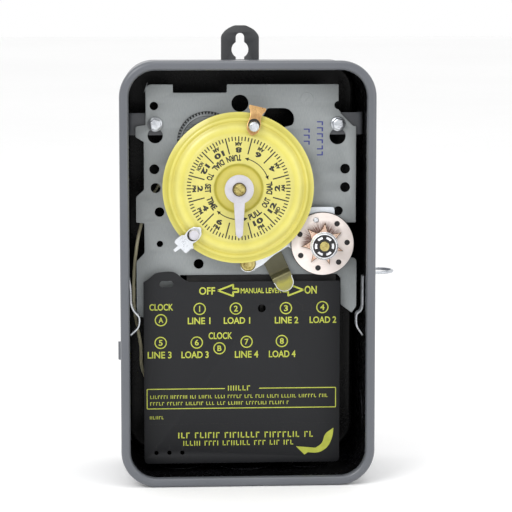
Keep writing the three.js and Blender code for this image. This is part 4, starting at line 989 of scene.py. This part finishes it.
nut_mesh = relief(wheel_at, nut_low[1] + 0.15, nut_high[1], nut_height, lambda a: 0 * a + nut_r, 56, 168)
middles = nut_mesh[0][nut_mesh[1]].mean(1)
out = np.hypot(middles[:, 0] - wheel_at[0], middles[:, 2] - wheel_at[1])
about = np.arctan2(middles[:, 2] - wheel_at[1], middles[:, 0] - wheel_at[0])
tongue = (np.abs(out - 4.3) < 0.62) & (np.abs(((about + np.pi / 6) % (np.pi / 3)) - np.pi / 6) < 0.29)
nut_shine = finish("nut_shine", linear(214, 216, 220), linear(244, 245, 247), (0.2, 0.34), 0.5, patch=2, grain=0.3,
                   lift=0.006)
piece("crowned_push_nut", [nut_mesh], [black_steel, nut_shine], "case", ["push_nut"], 50,
      bands=tongue | (out > 5.75))
post_low, post_high = corners("wheel_post")
POST_END, POST_FOOT = post_low[1], post_high[1] - 0.05
post = softened([(0, POST_FOOT), (2.2, POST_FOOT), (2.2, POST_END + 1), (2.5, POST_END + 0.7), (2.4, POST_END + 0.2),
                 (1.2, POST_END), (0, POST_END)],
                [0, .1, .2, .3, .4, .5, 0], 4, closed=False)
piece("domed_post", [turned(post, wheel_at, 60)], [brass], "case", ["wheel_post"])


# ---- terminals and lead ----
# A moulded terminal block with raised walls between ten slotted brass screws, hidden by the insulator. The motor's
# sleeved lead runs down the left wall towards the clock terminal.
for name in "a12345678b":
    node = f"terminal_screw_{name}"
    low, high = corners(node)
    head = relief(axis_of(node), low[1] + 0.4, high[1], lambda x, z, s: 0.4 * (1 - s**4) - 0.4 * step_up(s, 0.85, 1)
                  - slot_cut(x, z, 0.95, 1.1, 0), lambda a: 0 * a + 3.2, 30, 64)
    piece(f"clamp_screw_{name}", [head], [brass], "case", [node], 50)

LEAD = [(-36, -38, 50), (-46, -40, 40), (-54, -44, 20), (-56.6, -46, 0), (-56.8, -46, -20), (-54.5, -47, -32),
        (-53, -47.2, -40), (-53.4, -45, -50), (-50, -42, -58)]
lead_sleeve = finish("lead_sleeve", linear(184, 178, 146), linear(206, 200, 170), (0.5, 0.66), patch=4, grain=0.25,
                     lift=0.01)
lead_path = softened(LEAD, 9, 7, closed=False)
piece("sleeved_lead", [swept(lead_path, (0, 0.3, 1), 0.88, 0.88, ROUND)], [lead_sleeve], "case",
      ["motor_lead"])


# ---- insulator ----
# A charcoal fishpaper sheet over the terminals, with an ear at the upper left and slits for its tabs. It is printed
# in yellow-green with the terminals it covers. It lifts out to the left, along a curved arrow at its lower corner.
low, high = corners("insulator")
SHEET_FRONT, SHEET_BACK = low[1], high[1]
left_x, right_x, bottom_z, SHEET_TOP = low[0], high[0], low[2], -5.3
sheet_outline = np.vstack([
    softened([(-31.5, -4), (-36, -0.4), (-38.5, 0), (-40.5, 0), (-46, -0.6), (-49.5, -4), (left_x, SHEET_TOP),
              (left_x, bottom_z), (right_x, bottom_z), (right_x, SHEET_TOP), (-29.2, SHEET_TOP)],
             [0, 2, 1, 1, 2.5, 1.2, .6, 2.5, 2.5, 1, 0], 7, closed=False)])
oblong = np.vstack([circle(-42.2, -6.4, 1.6, 14, 90, 270), circle(-38.4, -6.4, 1.6, 14, -90, 90)])
fold_holes = [circle(x, -93, 1.1, 24) for x in (-45.8, -39.2, -32.6)]
fishpaper = finish("charcoal_fishpaper", linear(19, 20, 23), linear(27, 28, 31), (0.46, 0.6), patch=28, grain=0.35,
                   lift=0.012, share=0.6, Specular_IOR_Level=0.3)
piece("insulator_cover", [cut([sheet_outline, oblong, circle(7.9, -19.1, 2, 32)] + fold_holes, SHEET_BACK,
                              SHEET_BACK - SHEET_FRONT, 0.1)], [fishpaper], "insulator_sheet",
      ["insulator"])


def stroke(points, width, rise=INK, reach=0.4):
    """A printed or scored line on the sheet through points (x, z)."""
    chain = softened(points, reach, 4, closed=False) if len(points) > 2 else np.asarray(points, float)
    return swept([(x, SHEET_FRONT + 0.02 - rise / 2, z) for x, z in chain], (0, 1, 0), rise / 2, width / 2)


def printed(text, x, z, width, height, weight=0.02):
    """Letters that fill a box of the given width and height about (x, z), on the front of the sheet."""
    unit, faces = lettering(text, weight)
    return np.column_stack([x + (unit[:, 0] - 0.5) * width, SHEET_FRONT + 0.02 - INK * unit[:, 2],
                            z + (unit[:, 1] - 0.5) * height]), faces


LABELS = [("OFF", -19.8, -9.95, 8.1, 3.85), ("MANUAL LEVER", 7.5, -10, 20.6, 2.7), ("ON", 32.7, -9.8, 6.2, 4.0),
          ("CLOCK", -43, -18.1, 12, 3.4), ("A", -43.2, -24.7, 2.4, 2.8), ("1", -23.6, -19.1, 0.55, 3.0),
          ("LINE 1", -23.9, -25.2, 11.5, 3.4), ("2", -5.26, -19.1, 2.0, 3.0), ("LOAD 1", -4.7, -25.2, 13.4, 3.4),
          ("3", 20.15, -19.1, 2.0, 3.0), ("LINE 2", 20.5, -25.2, 12, 3.4), ("4", 38.7, -18.75, 2.2, 3.0),
          ("LOAD 2", 39, -25.2, 13.6, 3.4), ("5", -43.4, -36.3, 2.0, 3.0), ("LINE 3", -43.95, -42.55, 12.1, 3.5),
          ("6", -25.1, -36.3, 2.0, 3.0), ("LOAD 3", -26, -42.55, 13.8, 3.5), ("CLOCK", -13.1, -32.9, 12, 3.5),
          ("B", -13.6, -39.35, 2.1, 2.8), ("7", 0.18, -36.15, 2.0, 3.0), ("LINE 4", 0.15, -42.55, 11.9, 3.5),
          ("8", 18.1, -35.95, 2.0, 3.0), ("LOAD 4", 18.3, -42.55, 13.6, 3.5)]
print_parts = [printed(*label) for label in LABELS]
for text, x, z, width, height in LABELS:
    if len(text) == 1:
        ring = circle(x, z, 2.85, 40)
        print_parts.append(swept(np.insert(ring, 1, SHEET_FRONT + 0.02 - INK / 2, axis=1), (0, 1, 0), INK / 2, 0.27,
                                 closed=True))
for tip_x, base_x, end_x in ((-14.35, -6.6, -4.0), (29.0, 21.3, 18.7)):
    head = np.array([(tip_x, -9.8), (base_x, -6.9), (base_x, -8.95), (end_x, -8.95), (end_x, -10.65),
                     (base_x, -10.65), (base_x, -12.7)])
    print_parts.append(stroke(np.vstack([head, head[:1]]), 0.85, reach=0.1))
FRAME_L, FRAME_R, FRAME_T, FRAME_B = -50.4, 45.6, -60.1, -70.2
print_parts.append(stroke([(-10.9, FRAME_T), (FRAME_L, FRAME_T), (FRAME_L, FRAME_B), (FRAME_R, FRAME_B),
                           (FRAME_R, FRAME_T), (6.6, FRAME_T)], 0.45))


def mark_rows(x_from, x_to, z, height, seed):
    """A row of meaningless marks from x_from to x_to, in groups of 3 to 8 with a gap of 0.62 x height between: each is
    an upright of the full height, and two in three have a level bar at 0.4 x height above or below the middle."""
    chance = np.random.default_rng(seed)
    x, row = x_from, []
    while x < x_to - height * 1.4:
        for _ in range(int(chance.integers(3, 9))):
            if x > x_to - height * 0.7:
                break
            kind = int(chance.integers(0, 3))
            wide = height * 0.5
            row.append(bar(x + 0.2 * height, z, 0.19 * height, height, SHEET_FRONT + 0.02, INK))
            if kind:
                row.append(bar(x + wide / 2 + 0.2 * height, z + (0.4, -0.4)[kind - 1] * height, wide, 0.19 * height,
                               SHEET_FRONT + 0.02, INK))
            x += height * (0.86 if kind else 0.5)
        x += height * 0.62
    return row


print_parts += mark_rows(-9.6, 6.2, -59.9, 2.6, 3)
print_parts += mark_rows(-49.0, 44.4, -64.2, 1.75, 5) + mark_rows(-49.0, 23.0, -67.6, 1.75, 6)
print_parts += mark_rows(-49.2, -39.3, -74.8, 1.6, 8)
print_parts += mark_rows(-35.0, 35.7, -84.1, 3.0, 11) + mark_rows(-32.4, 24.4, -88.2, 2.5, 12)
arrow = np.vstack([softened([(44.6, -81.0), (44.2, -85.5), (41.9, -91.0), (37.1, -94.05), (31.5, -93.6)], 3, 7,
                            closed=False), [(29.75, -94.8), (25.4, -90.4), (35.4, -91.3)],
                   softened([(35.4, -91.3), (39.1, -88.9), (39.95, -84.1), (44.6, -81.0)], 2.5, 6, closed=False)[1:-1]])
print_parts.append(cut([arrow], SHEET_FRONT + 0.02, INK, 0.01))
sheet_ink = finish("sheet_ink", linear(160, 168, 52), linear(190, 196, 76), (0.5, 0.62), patch=5, grain=0.25,
                   lift=0.003)
piece("insulator_print", print_parts, [sheet_ink], "insulator_sheet", sharp=20)

slits = [stroke([(-47.3, -11.1), (-45.3, -13.9), (-41, -15.5), (-37, -13.9), (-35, -10.8)], 0.3),
         stroke([(24.8, -15), (28.2, -17.7)], 0.3), stroke([(35.7, -15), (32.3, -17.7)], 0.3),
         stroke([(28.6, -17.2), (28.6, -20.5), (33, -20.5), (33, -17.2)], 0.3)]
slits += [stroke([(x, -93 + side * 1.6), (x, -93 + side * 4.2)], 0.25) for x in (-45.8, -39.2, -32.6)
          for side in (1, -1)]
slits += [stroke([(x, -78.2), (x + 1.6, -78.2)], 0.18) for x in np.arange(-49.5, 45, 2.6)]
slit_black = finish("slit_black", linear(12, 12, 13), linear(20, 20, 21), (0.6, 0.75), patch=3, grain=0.3, lift=0.002)
piece("insulator_slits", slits, [slit_black], "insulator_sheet", sharp=20)
